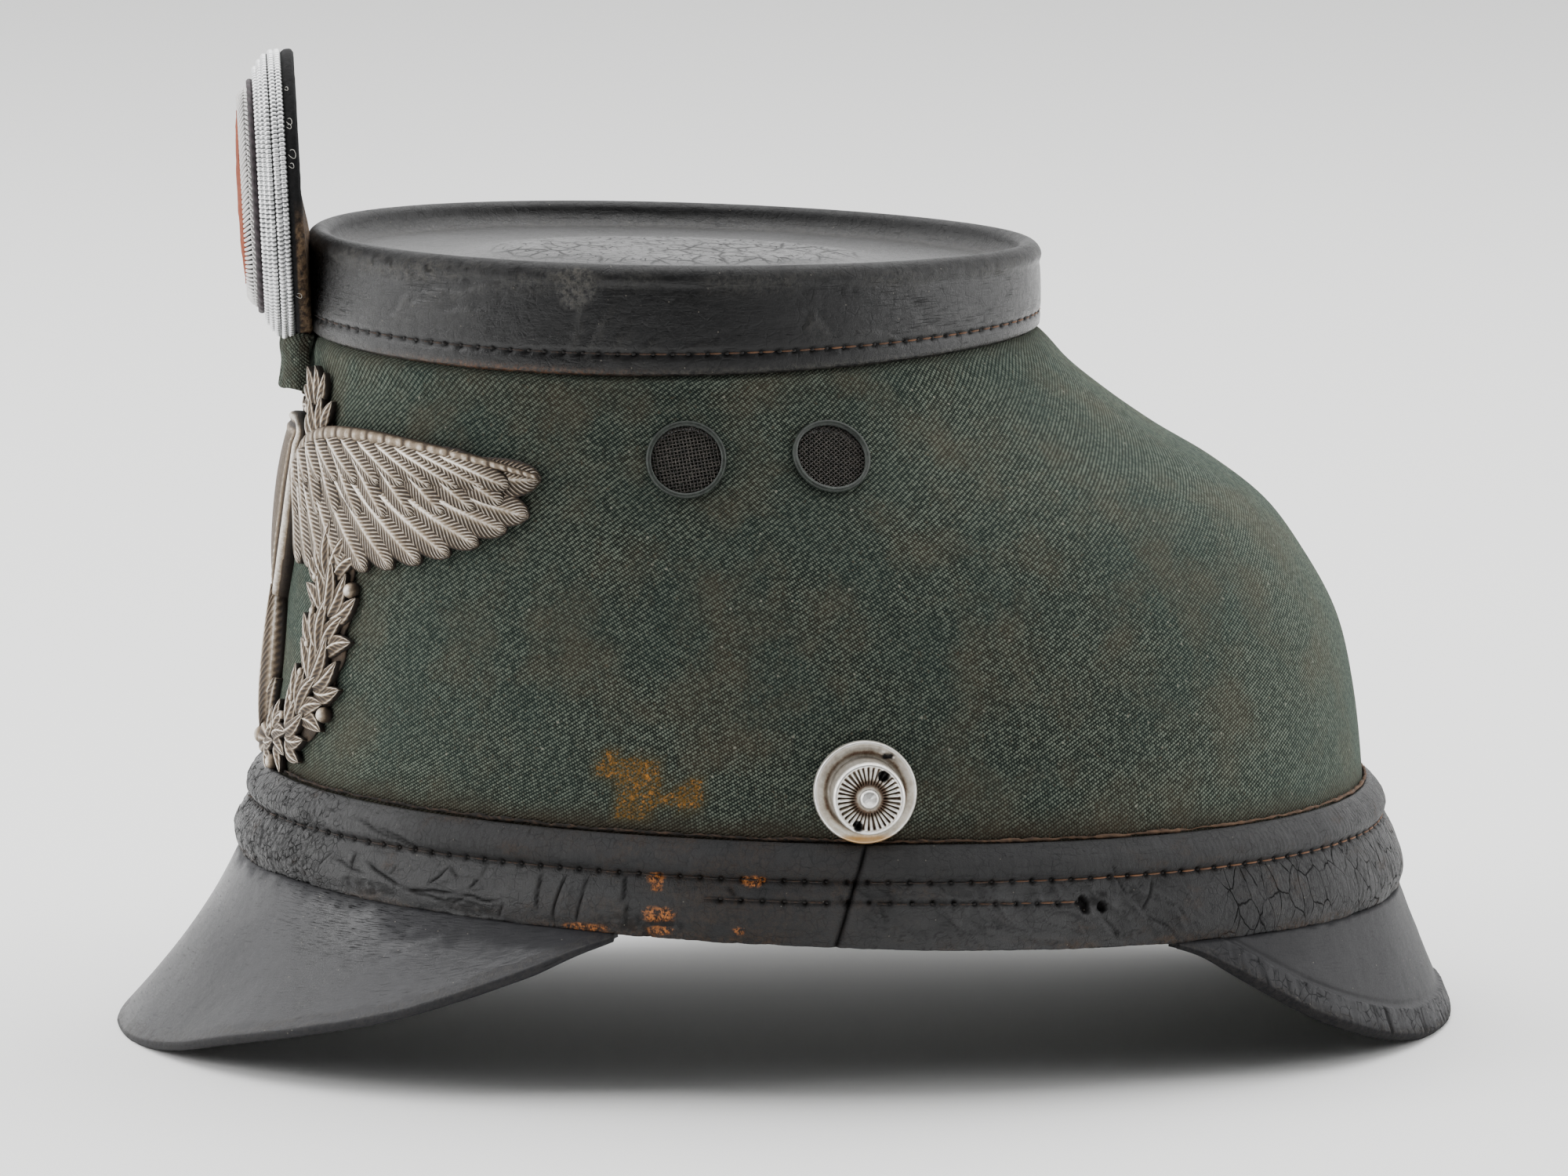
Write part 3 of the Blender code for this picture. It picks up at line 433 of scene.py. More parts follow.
def makeWool(look):
    # wool twill, woven and lightly felted: short diagonal ribs of mixed green, grey and brown
    # fibres, painted shade in the pits between threads, no shine, and a pale bloom where the eye meets it at
    # a flat angle
    material, tree, shader = newMaterial("woolTwill")
    woven = mmPlaces(tree, "UV", look["ribTurn"])
    solid = mmPlaces(tree)
    dirt = addNode(tree, "Attribute", attribute_name="dirt", out=2)
    stain = addNode(tree, "Attribute", attribute_name="stain", out=2)
    wobble = addNode(tree, "TexNoise", {"Vector": woven, "Scale": 0.9, "Detail": 2.0}, out=1)
    woven = addNode(tree, "MixRGB", {0: 0.045, 1: woven, 2: wobble}, blend_type="ADD")
    parts = addNode(tree, "SeparateXYZ", {0: woven}).node.outputs
    # rib number = floor(y / rib spacing), each rib's threads shifted by a share of their length
    across = addNode(tree, "Math", {0: parts[1], 1: look["ribSpacing"]}, operation="DIVIDE")
    ribNumber = addNode(tree, "Math", {0: across}, operation="FLOOR")
    along = addNode(tree, "Math", {0: parts[0], 1: look["threadLength"]}, operation="DIVIDE")
    along = addNode(tree, "Math", {0: ribNumber, 1: look["ribShift"], 2: along}, operation="MULTIPLY_ADD")
    threadNumber = addNode(tree, "Math", {0: along}, operation="FLOOR")
    cell = addNode(tree, "CombineXYZ", {0: ribNumber, 1: threadNumber})
    shade = addNode(tree, "TexWhiteNoise", {"Vector": cell}, noise_dimensions="2D")
    bulges = []
    for value in (across, along):
        # 4 q (1 - q) of the fraction q: 0 at a thread's edges and 1 along its middle
        q = addNode(tree, "Math", {0: value}, operation="FRACT")
        rest = addNode(tree, "Math", {0: q, 1: -4.0, 2: 4.0}, operation="MULTIPLY_ADD")
        bulges.append(addNode(tree, "Math", {0: q, 1: rest}, operation="MULTIPLY"))
    # relief = rib * (0.6 thread + 0.4)
    relief = addNode(tree, "Math", {0: bulges[1], 1: 0.6, 2: 0.4}, operation="MULTIPLY_ADD")
    relief = addNode(tree, "Math", {0: bulges[0], 1: relief}, operation="MULTIPLY")
    fuzz = addNode(tree, "TexNoise", {"Vector": solid, "Scale": 2.6, "Detail": 4.0, "Roughness": 0.7})
    # the tone follows the thread relief as well: painted shade in the pits between the threads, lighter on
    # their tops
    tone = 0.0
    for value, share in ((shade, 0.17), (fuzz, 0.475), (relief, 0.425)):
        tone = addNode(tree, "Math", {0: value, 1: share, 2: tone}, operation="MULTIPLY_ADD")
    height = addNode(tree, "Math", {0: fuzz, 1: 0.9, 2: relief}, operation="MULTIPLY_ADD")
    colour = addNode(tree, "ValToRGB", {0: tone},
                     stops=((0.36, look["dark"]), (0.55, look["green"]), (0.76, look["light"])))
    bluish = speckle(tree, solid, 30.0, 4.0, 0.6, ((0.42, 0.0), (0.6, 1.0)))
    browned = speckle(tree, mmPlaces(tree, turn=1.1), 19.0, 4.0, 0.6, ((0.48, 0.0), (0.66, 1.0)))
    fibres = speckle(tree, solid, 0.9, 4.0, 0.75, ((0.60, 0.0), (0.68, 1.0)))
    flecks = addNode(tree, "TexVoronoi", {"Vector": solid, "Scale": 0.22, "Randomness": 1.0})
    flecks = addNode(tree, "ValToRGB", {0: flecks}, stops=((0.05, 1.0), (0.075, 0.0)))
    # ochre grains, denser towards a stain's middle
    grains = addNode(tree, "TexNoise", {"Vector": solid, "Scale": 1.5, "Detail": 5.0, "Roughness": 0.8})
    grains = addNode(tree, "Math", {0: grains, 1: 0.9}, operation="MULTIPLY")
    grains = addNode(tree, "Math", {0: stain, 1: 0.32, 2: grains}, operation="MULTIPLY_ADD")
    grains = addNode(tree, "ValToRGB", {0: grains}, stops=((0.76, 0.0), (0.82, 1.0)))
    ochre = addNode(tree, "MixRGB", {0: speckle(tree, solid, 1.4, stops=((0.5, 0.0), (0.66, 1.0))),
                                     1: "#6a4c1f", 2: look["stain"]})
    for cover, share, paint in ((bluish, 0.28, look["teal"]), (browned, 0.3, look["brown"]),
                                (fibres, 0.5, look["brown"]), (flecks, 0.4, "#a5a395"),
                                (dirt, 0.8, "#33291f"), (stain, 0.4, "#4a3b1a"), (grains, 1.0, ochre)):
        cover = addNode(tree, "Math", {0: cover, 1: share}, operation="MULTIPLY")
        colour = addNode(tree, "MixRGB", {0: cover, 1: colour, 2: paint})
    tree.links.new(colour, shader["Base Color"])
    shader["Roughness"].default_value = 0.95
    shader["Specular IOR Level"].default_value = 0.15
    shader["Sheen Weight"].default_value = 0.35
    shader["Sheen Roughness"].default_value = 0.45
    shader["Sheen Tint"].default_value = hexColour("#8fa596")
    bump = addNode(tree, "Bump", {"Height": height, "Strength": 0.9, "Distance": 0.00028})
    tree.links.new(bump, shader["Normal"])
    return material


def makeLeather(name, look):
    # vegetable-tanned black leather, waxed: dense black under a grey bloom, hair cracks that
    # show the darker flesh, brown where it has rubbed through, and a soft broken shine
    material, tree, shader = newMaterial(name)
    solid = mmPlaces(tree)
    crackled, scratched, craze, worn, crack, stain, matte = (
        addNode(tree, "Attribute", attribute_name=mark, out=2)
        for mark in ("crackled", "scratched", "craze", "worn", "crack", "stain", "matte"))
    bloom = speckle(tree, solid, look["bloomSize"], 5.0, 0.6, ((0.34, 0.0), (0.68, 1.0)))
    pores = addNode(tree, "TexNoise", {"Vector": solid, "Scale": 2.4, "Detail": 5.0, "Roughness": 0.7})
    waves = addNode(tree, "TexNoise", {"Vector": solid, "Scale": 0.28, "Detail": 2.0})
    # long rubbed strokes, off where it is crackled, and finer ones where it is scratched
    strokes = speckle(tree, mmPlaces(tree, "UV", 0.0, (0.16, 1.6, 1.0)), 1.0, 4.0, 0.65,
                      ((0.60, 0.0), (0.68, 1.0)))
    smooth = addNode(tree, "Math", {0: 1.0, 1: crackled}, operation="SUBTRACT")
    fine = speckle(tree, mmPlaces(tree, "UV", 0.06, (0.20, 3.6, 1.0)), 1.0, 3.0, 0.6,
                   ((0.57, 0.0), (0.62, 1.0)))
    strokes = addNode(tree, "Math", {0: strokes, 1: look["strokes"]}, operation="MULTIPLY")
    strokes = addNode(tree, "Math", {0: strokes, 1: smooth}, operation="MULTIPLY")
    fine = addNode(tree, "Math", {0: fine, 1: scratched}, operation="MULTIPLY")
    strokes = addNode(tree, "Math", {0: strokes, 1: fine}, operation="MAXIMUM")
    # a net of hair cracks at the borders of warped cells, broken here and there
    warp = addNode(tree, "TexNoise", {"Vector": solid, "Scale": 0.5, "Detail": 3.0}, out=1)
    bent = addNode(tree, "MixRGB", {0: 0.55, 1: solid, 2: warp}, blend_type="ADD")
    net = addNode(tree, "TexVoronoi", {"Vector": bent, "Scale": 1.0 / look["crazeSize"]},
                  feature="DISTANCE_TO_EDGE")
    net = addNode(tree, "ValToRGB", {0: net}, stops=((0.0, 1.0), (0.085, 0.0)))
    broken = speckle(tree, solid, 3.1, 3.0, 0.6, ((0.40, 0.0), (0.56, 1.0)))
    # and wider gaps round tiles where it is crackled
    places = mmPlaces(tree, *look["tiles"])
    warp = addNode(tree, "TexNoise", {"Vector": places, "Scale": 1.3, "Detail": 3.0}, out=1)
    places = addNode(tree, "MixRGB", {0: 0.5, 1: places, 2: warp}, blend_type="ADD")
    tiles = addNode(tree, "TexVoronoi", {"Vector": places, "Scale": 1.0}, feature="DISTANCE_TO_EDGE",
                    voronoi_dimensions="2D")
    tiles = addNode(tree, "ValToRGB", {0: tiles}, stops=((0.0, 1.0), (look["tileGap"], 0.0)))
    net = addNode(tree, "Math", {0: net, 1: craze}, operation="MULTIPLY")
    net = addNode(tree, "Math", {0: net, 1: broken}, operation="MULTIPLY")
    tiles = addNode(tree, "Math", {0: tiles, 1: crackled}, operation="MULTIPLY")
    net = addNode(tree, "Math", {0: net, 1: tiles}, operation="MAXIMUM")
    scuffs = speckle(tree, solid, 1.1, 5.0, 0.75, ((0.42, 0.0), (0.60, 1.0)))
    rubbed = addNode(tree, "Math", {0: worn, 1: scuffs}, operation="MULTIPLY")
    dust = addNode(tree, "TexVoronoi", {"Vector": solid, "Scale": 0.34})
    dust = addNode(tree, "ValToRGB", {0: dust}, stops=((0.035, 1.0), (0.06, 0.0)))
    grains = speckle(tree, solid, 0.8, 4.0, 0.75, ((0.46, 0.0), (0.56, 1.0)))
    rust = addNode(tree, "MixRGB", {0: speckle(tree, solid, 1.3), 1: "#7a4a24", 2: "#b9743c"})
    colour = look["black"]
    # the crack mark's near black is partly the leather's own cuts, cracks and seams, and partly painted shade
    # in needle holes, torn holes, grooves and creases and on the crown next to the cockade
    for cover, share, paint in ((bloom, look["bloom"], look["grey"]), (pores, 0.35, look["black"]),
                                (strokes, 1.0, "#0a0a0b"), (net, 0.8, "#080808"),
                                (rubbed, 0.75, look["rubbed"]), (crack, 0.9, "#070606"),
                                (dust, 0.45, "#8a8378"), (stain, 0.3, "#2c1d12"), (stain, grains, rust)):
        cover = addNode(tree, "Math", {0: cover, 1: share}, operation="MULTIPLY")
        colour = addNode(tree, "MixRGB", {0: cover, 1: colour, 2: paint})
    tree.links.new(colour, shader["Base Color"])
    # the pores swing the roughness both ways, so half their share comes off at the start
    poreShare = 0.35
    rough = addNode(tree, "MapRange", {0: bloom, 3: look["shiny"] - poreShare / 2,
                                       4: look["dull"] - poreShare / 2})
    for value, share in ((rubbed, 0.3), (crack, 0.3), (net, 0.5), (strokes, 0.2), (stain, 0.3),
                         (pores, poreShare), (matte, 0.25)):
        rough = addNode(tree, "Math", {0: value, 1: share, 2: rough}, operation="MULTIPLY_ADD")
    tree.links.new(rough, shader["Roughness"])
    # the shine goes in the cracks and strokes; the plain value is for the export, which drops links
    shader["Specular IOR Level"].default_value = look["gloss"]
    lost = crack
    for value, share in ((net, 0.7), (strokes, 0.75)):
        value = addNode(tree, "Math", {0: value, 1: share}, operation="MULTIPLY")
        lost = addNode(tree, "Math", {0: lost, 1: value}, operation="MAXIMUM")
    kept = addNode(tree, "Math", {0: lost, 1: -0.9, 2: 1.0}, operation="MULTIPLY_ADD")
    gloss = addNode(tree, "MapRange", {0: matte, 3: look["gloss"], 4: look["gloss"] * 0.4})
    gloss = addNode(tree, "Math", {0: gloss, 1: kept}, operation="MULTIPLY")
    tree.links.new(gloss, shader["Specular IOR Level"])
    height = 0.0
    for value, share in ((pores, look["grain"]), (net, -1.0), (waves, look["waves"]), (strokes, -0.6),
                         (rubbed, 0.7)):
        height = addNode(tree, "Math", {0: value, 1: share, 2: height}, operation="MULTIPLY_ADD")
    bump = addNode(tree, "Bump", {"Height": height, "Strength": look["bump"], "Distance": 0.0004})
    tree.links.new(bump, shader["Normal"])
    return material


crownLook = {"black": "#0b0b0c", "grey": "#1c1c1d", "rubbed": "#5e5b55", "bloomSize": 26.0, "bloom": 0.6,
             "strokes": 0.35, "crazeSize": 2.6, "shiny": 0.20, "dull": 0.34, "gloss": 0.5,
             "grain": 0.45, "waves": 1.2, "bump": 0.6, "tiles": ("Object", 0.3, (0.11, 0.17, 0.0)),
             "tileGap": 0.11}
bandLook = {"black": "#0d0d0e", "grey": "#222224", "rubbed": "#4a3a2e", "bloomSize": 17.0, "bloom": 0.65,
            "strokes": 0.3, "crazeSize": 1.9, "shiny": 0.26, "dull": 0.42, "gloss": 0.56,
            "grain": 0.9, "waves": 1.2, "bump": 0.8, "tiles": ("UV", 0.05, (0.28, 0.16, 1.0)),
            "tileGap": 0.05}
peakLook = {"black": "#17171a", "grey": "#2b2b2f", "rubbed": "#4a4743", "bloomSize": 30.0, "bloom": 0.75,
            "strokes": 0.5, "crazeSize": 2.2, "shiny": 0.26, "dull": 0.38, "gloss": 0.5,
            "grain": 0.35, "waves": 0.8, "bump": 0.45, "tiles": ("UV", 0.0, (0.2, 0.2, 1.0)),
            "tileGap": 0.05}
rearPeakLook = dict(peakLook, black="#17171a", grey="#252527", strokes=0.2, shiny=0.50, dull=0.60, gloss=0.28)


def makeMetal(name, look):
    # pressed white metal, once plated: pale on what the hand rubs, brown grey dirt in the
    # hollows, and a shine broken by fine scratches
    material, tree, shader = newMaterial(name)
    solid = mmPlaces(tree)
    raised, barbs, stain, hole = (addNode(tree, "Attribute", attribute_name=mark, out=2)
                                  for mark in ("raised", "barbs", "stain", "crack"))
    grime = addNode(tree, "TexNoise", {"Vector": solid, "Scale": 1.1, "Detail": 5.0, "Roughness": 0.7})
    grime = addNode(tree, "Math", {0: grime, 1: look["patchy"], 2: -0.5 * look["patchy"]},
                    operation="MULTIPLY_ADD")
    level = addNode(tree, "Math", {0: raised, 1: grime}, operation="ADD", use_clamp=True)
    # barbs slant off a shaft: the sine of 5.7 (along - 0.95 off), strongest where marked
    parts = addNode(tree, "SeparateXYZ", {0: mmPlaces(tree, "UV")}).node.outputs
    barb = addNode(tree, "Math", {0: parts[1], 1: -0.95, 2: parts[0]}, operation="MULTIPLY_ADD")
    barb = addNode(tree, "Math", {0: barb, 1: 5.7}, operation="MULTIPLY")
    barb = addNode(tree, "Math", {0: barb}, operation="SINE")
    barb = addNode(tree, "Math", {0: barb, 1: barbs}, operation="MULTIPLY")
    level = addNode(tree, "Math", {0: barb, 1: 0.34, 2: level}, operation="MULTIPLY_ADD", use_clamp=True)
    colour = addNode(tree, "ValToRGB", {0: level}, stops=look["stops"])
    # the holes are painted near black and not metal: painted shade in them
    for cover, paint in ((stain, "#b98a3a"), (hole, "#100d0b")):
        colour = addNode(tree, "MixRGB", {0: cover, 1: colour, 2: paint})
    tree.links.new(colour, shader["Base Color"])
    fine = addNode(tree, "TexNoise", {"Vector": solid, "Scale": 3.4, "Detail": 4.0, "Roughness": 0.7})
    rough = addNode(tree, "MapRange", {0: level, 3: look["dull"], 4: look["shiny"]})
    rough = addNode(tree, "Math", {0: fine, 1: 0.18, 2: rough}, operation="MULTIPLY_ADD")
    tree.links.new(rough, shader["Roughness"])
    whole = addNode(tree, "Math", {0: 1.0, 1: hole}, operation="SUBTRACT")
    metallic = addNode(tree, "MapRange", {0: level, 1: 0.05, 2: 0.45, 3: 0.1, 4: 1.0})
    metallic = addNode(tree, "Math", {0: metallic, 1: whole}, operation="MULTIPLY")
    tree.links.new(metallic, shader["Metallic"])
    height = addNode(tree, "Math", {0: barb, 1: 1.6, 2: fine}, operation="MULTIPLY_ADD")
    bump = addNode(tree, "Bump", {"Height": height, "Strength": look["bump"], "Distance": 0.00012})
    tree.links.new(bump, shader["Normal"])
    return material


badgeLook = {"stops": ((0.05, "#231a14"), (0.36, "#54483c"), (0.68, "#8d8070"), (0.98, "#f1ebe2")),
             "patchy": 0.45, "dull": 0.6, "shiny": 0.30, "bump": 0.9}
bossLook = {"stops": ((0.0, "#5a4331"), (0.30, "#aaa193"), (0.6, "#dad5cc"), (0.95, "#fbfaf7")),
            "patchy": 0.6, "dull": 0.5, "shiny": 0.26, "bump": 0.5}


def makeThread(name, dark, light, roughness, metallic=0.0, size=0.7):
    # spun or metal-wound thread: its own mark 'raised' goes from the dark of the gaps between
    # the windings to their lit tops
    material, tree, shader = newMaterial(name)
    solid = mmPlaces(tree)
    raised = addNode(tree, "Attribute", attribute_name="raised", out=2)
    soil = addNode(tree, "TexNoise", {"Vector": solid, "Scale": 1.0 / size, "Detail": 4.0, "Roughness": 0.7})
    level = addNode(tree, "Math", {0: soil, 1: 0.5, 2: -0.25}, operation="MULTIPLY_ADD")
    level = addNode(tree, "Math", {0: raised, 1: level}, operation="ADD", use_clamp=True)
    colour = addNode(tree, "ValToRGB", {0: level}, stops=((0.05, dark), (0.6, light)))
    stain = addNode(tree, "Attribute", attribute_name="stain", out=2)
    colour = addNode(tree, "MixRGB", {0: stain, 1: colour, 2: "#6a4a30"})
    tree.links.new(colour, shader["Base Color"])
    shader["Roughness"].default_value = roughness
    shader["Metallic"].default_value = metallic
    bump = addNode(tree, "Bump", {"Height": soil, "Strength": 0.4, "Distance": 0.0001})
    tree.links.new(bump, shader["Normal"])
    return material


print("materials")
wool = makeWool(woolLook)
crownLeather = makeLeather("waxedCrownLeather", crownLook)
bandLeather = makeLeather("crackedBandLeather", bandLook)
peakLeather = makeLeather("lacqueredPeakLeather", peakLook)
rearPeakLeather = makeLeather("lacqueredRearPeakLeather", rearPeakLook)
badgeMetal = makeMetal("pressedWhiteMetal", badgeLook)
bossMetal = makeMetal("platedBossMetal", bossLook)
paleThread = makeThread("waxedLinenThread", "#0d0907", "#7c5334", 0.7)
frayedWool = makeThread("frayedWoolEdge", "#120d09", "#5e4735", 0.95)


body = {
    "wall": 2.4,
    "columns": 150,           # round each side
    "rows": 84,
    "unevenness": 0.25,
    "dirtHeight": 7.0,        # above the band, where the cloth has browned
    "stains": ((112, 70.0, 3.2, 4.0), (119, 66.0, 6.5, 6.0), (128, 63.5, 5.0, 4.0), (117, 61.0, 4.6, 4.0),
               (130, 66.0, 3.0, 3.0)),
    "ventHoleRadius": 7.5,
}
vents = {
    "places": (("front", -25.8), ("rear", 4.2)),
    "height": 131.2,
    "meshTurn": {"front": 0.17, "rear": 0.62},
    "wireSpacing": 0.74,
    "wireRadius": 0.16,
    "rim": ((7.3, 1.2), (8.1, 1.15), (8.4, 0.4), (7.45, 0.3), (7.4, -2.6), (7.05, -2.6), (7.3, 1.2)),
    "gauzeReach": 7.2,
    "wireWave": 0.17,
}


def clothSurface(side):
    # one side's outer face: rows through the outline table, columns even round the plan
    rows = rowsThrough(clothTable, body["rows"])
    turn, s, length = evenTurns(clothTable[2:3], 2 * body["columns"])
    turn = np.concatenate((turn[:body["columns"]], [0.0]))
    s = np.concatenate((s[:body["columns"]], [length / 2]))
    points = planPoints(rows, side * turn)
    steps = np.linalg.norm(np.diff(points, axis=1), axis=2)
    run = np.concatenate((np.zeros((len(rows), 1)), np.cumsum(steps, axis=1)), 1)
    u = side * (run - run[:, [body["columns"] // 2]])
    v = runAlong(points[:, body["columns"] // 2])
    return points, np.broadcast_to(s, points.shape[:2]), u, np.broadcast_to(v[:, None], u.shape)


def makeClothBody():
    # both sides of the cloth: gentle swellings, dirt above the band and under the crown, and
    # stains on the photographed side
    print("cloth body")
    parts = []
    for side in (1, -1):
        points, s, u, v = clothSurface(side)
        normals = outwards(gridNormals(points), points, np.array([0, 0, 90.0]))
        normals[:, [0, -1], 0] = 0.0      # the sides meet on the middle plane
        normals = unit(normals)
        height = points[..., 2]
        seamZ = 57.3 - 5.5 * (points[..., 1] + 112.9) / 240.2
        above = height - seamZ
        lumps = clouds(s * side / 45.0, v / 38.0, 4) * body["unevenness"]
        lumps = lumps * ease(above / 10.0) * ease((149.0 - height) / 8.0) * ease((s.max() - s) / 20.0)
        points = points + normals * lumps[..., None]
        ragged = above + 2.5 * clouds(s / 6.0, v / 6.0, 12 + side)
        dirt = 1 - ease(ragged / body["dirtHeight"])
        dirt = np.maximum(dirt, 0.45 * (1 - ease((149.5 - height + 1.5 * clouds(s / 5, v / 5, 21)) / 3.0)))
        stain = patchMark(s, height, body["stains"]) if side > 0 else np.zeros(s.shape)
        parts.append(shellPart(points, normals, body["wall"], uv=np.stack([u, v], -1),
                               marks={"dirt": dirt, "stain": stain}, innerStep=4))
    return parts


def openShell(parts):
    # the two sides meet at the front and back, so their end caps come off before the weld
    opened = []
    for points, quads, uv, marks in parts:
        x = np.abs(points[:, 0])
        keep = ~(x[quads] < 1e-6).all(1)
        opened.append((points, quads[keep], uv[keep], marks))
    return opened


clothPiece = makePiece("clothCoveredBody", openShell(makeClothBody()), wool,
                       ("cloth_body",), weld=True)


def drillVents(piece):
    # takes a cylinder square to the cloth out of the wall at each vent
    for side in (1, -1):
        for _, y in vents["places"]:
            place, across, up, out = sideFrame(y, vents["height"])
            flip = np.array([side, 1, 1])
            turn = np.linspace(0, 2 * np.pi, 64, endpoint=False)
            rings = [place * flip + (out * h + body["ventHoleRadius"]
                                     * (np.cos(turn)[:, None] * across + np.sin(turn)[:, None] * up)) * flip
                     for h in (-8.0, 8.0)]
            part = gridPart(np.array(rings), closeColumns=True, capRows=True)
            cutter = makePiece("drill", [part], wool, weld=True)
            hole = piece.modifiers.new("ventHole", "BOOLEAN")
            hole.object = cutter
            hole.solver = "EXACT"
            cut = bpy.data.meshes.new_from_object(piece.evaluated_get(bpy.context.evaluated_depsgraph_get()))
            piece.modifiers.clear()
            piece.data = cut
            bpy.data.objects.remove(cutter)


drillVents(clothPiece)


crown = {
    "wall": 1.4,
    "columns": 560,
    # inset from the crown's side, depth under the rim's top
    "rim": ((0.0, 4.6), (-0.4, 2.6), (0.6, 0.8), (2.4, 0.0), (4.2, 0.8), (5.1, 2.7), (7.0, 4.7),
            (12.0, 5.0), (36.0, 4.5), (42.0, 3.5), (60.0, 3.3)),
    "stitchSpacing": 3.75,
    "stitchHeight": 3.9,      # above the crown's lower edge
    # scratches on the side: s, mm above the lower edge, to s, mm above the edge, strength
    "scratches": ((88, 2.5, 92, 15, .8), (91, 2, 98, 15, .9), (95, 1.5, 102, 11, .8), (101, 2, 108, 9, .6),
                  (47, 8, 52, 14, .9), (52, 12, 60, 13, .7), (55, 14.5, 70, 16, .8), (60, 11, 72, 12, .5),
                  (38, 9, 43, 9.6, .5), (150, 8, 158, 7, .6), (158, 7.6, 163, 4, .6), (166, 10, 172, 5, .7),
                  (150, 5, 161, 4.6, .5), (138, 8, 141, 13, .9), (141, 13, 146, 7, .9), (176, 9, 184, 11, .5),
                  (112, 6, 120, 7, .4), (186, 7, 191, 12, .5)),
    "wornPatch": ((91, 17.5, 4.2, 4.5),),
}


def crownProfile():
    # rows from the lower edge, up the side and over the rim to the middle of the top:
    # each row is a plan row with how far it is grown and raised
    side = np.linspace(0, 1, 36)[:, None]
    top = crownRim + np.array([-4.6, -4.6, 0, 0, 0, 0, 0])
    rows = crownFoot * (1 - side) + top * side
    grow = 0.35 * np.sin(np.pi * side[:, 0]) ** 0.7
    table = np.array(crown["rim"])
    steps = runAlong(table)
    places = np.concatenate((np.linspace(0, steps[6], 22)[1:], np.linspace(steps[6], steps[-1], 26)[1:]))
    inset, depth = throughTable(steps, table, places).T
    rimRows = np.repeat(crownRim, len(places), 0)
    rimRows[:, :2] -= depth[:, None]
    rows, grow = np.concatenate((rows, rimRows)), np.concatenate((grow, -inset))
    return rows, grow


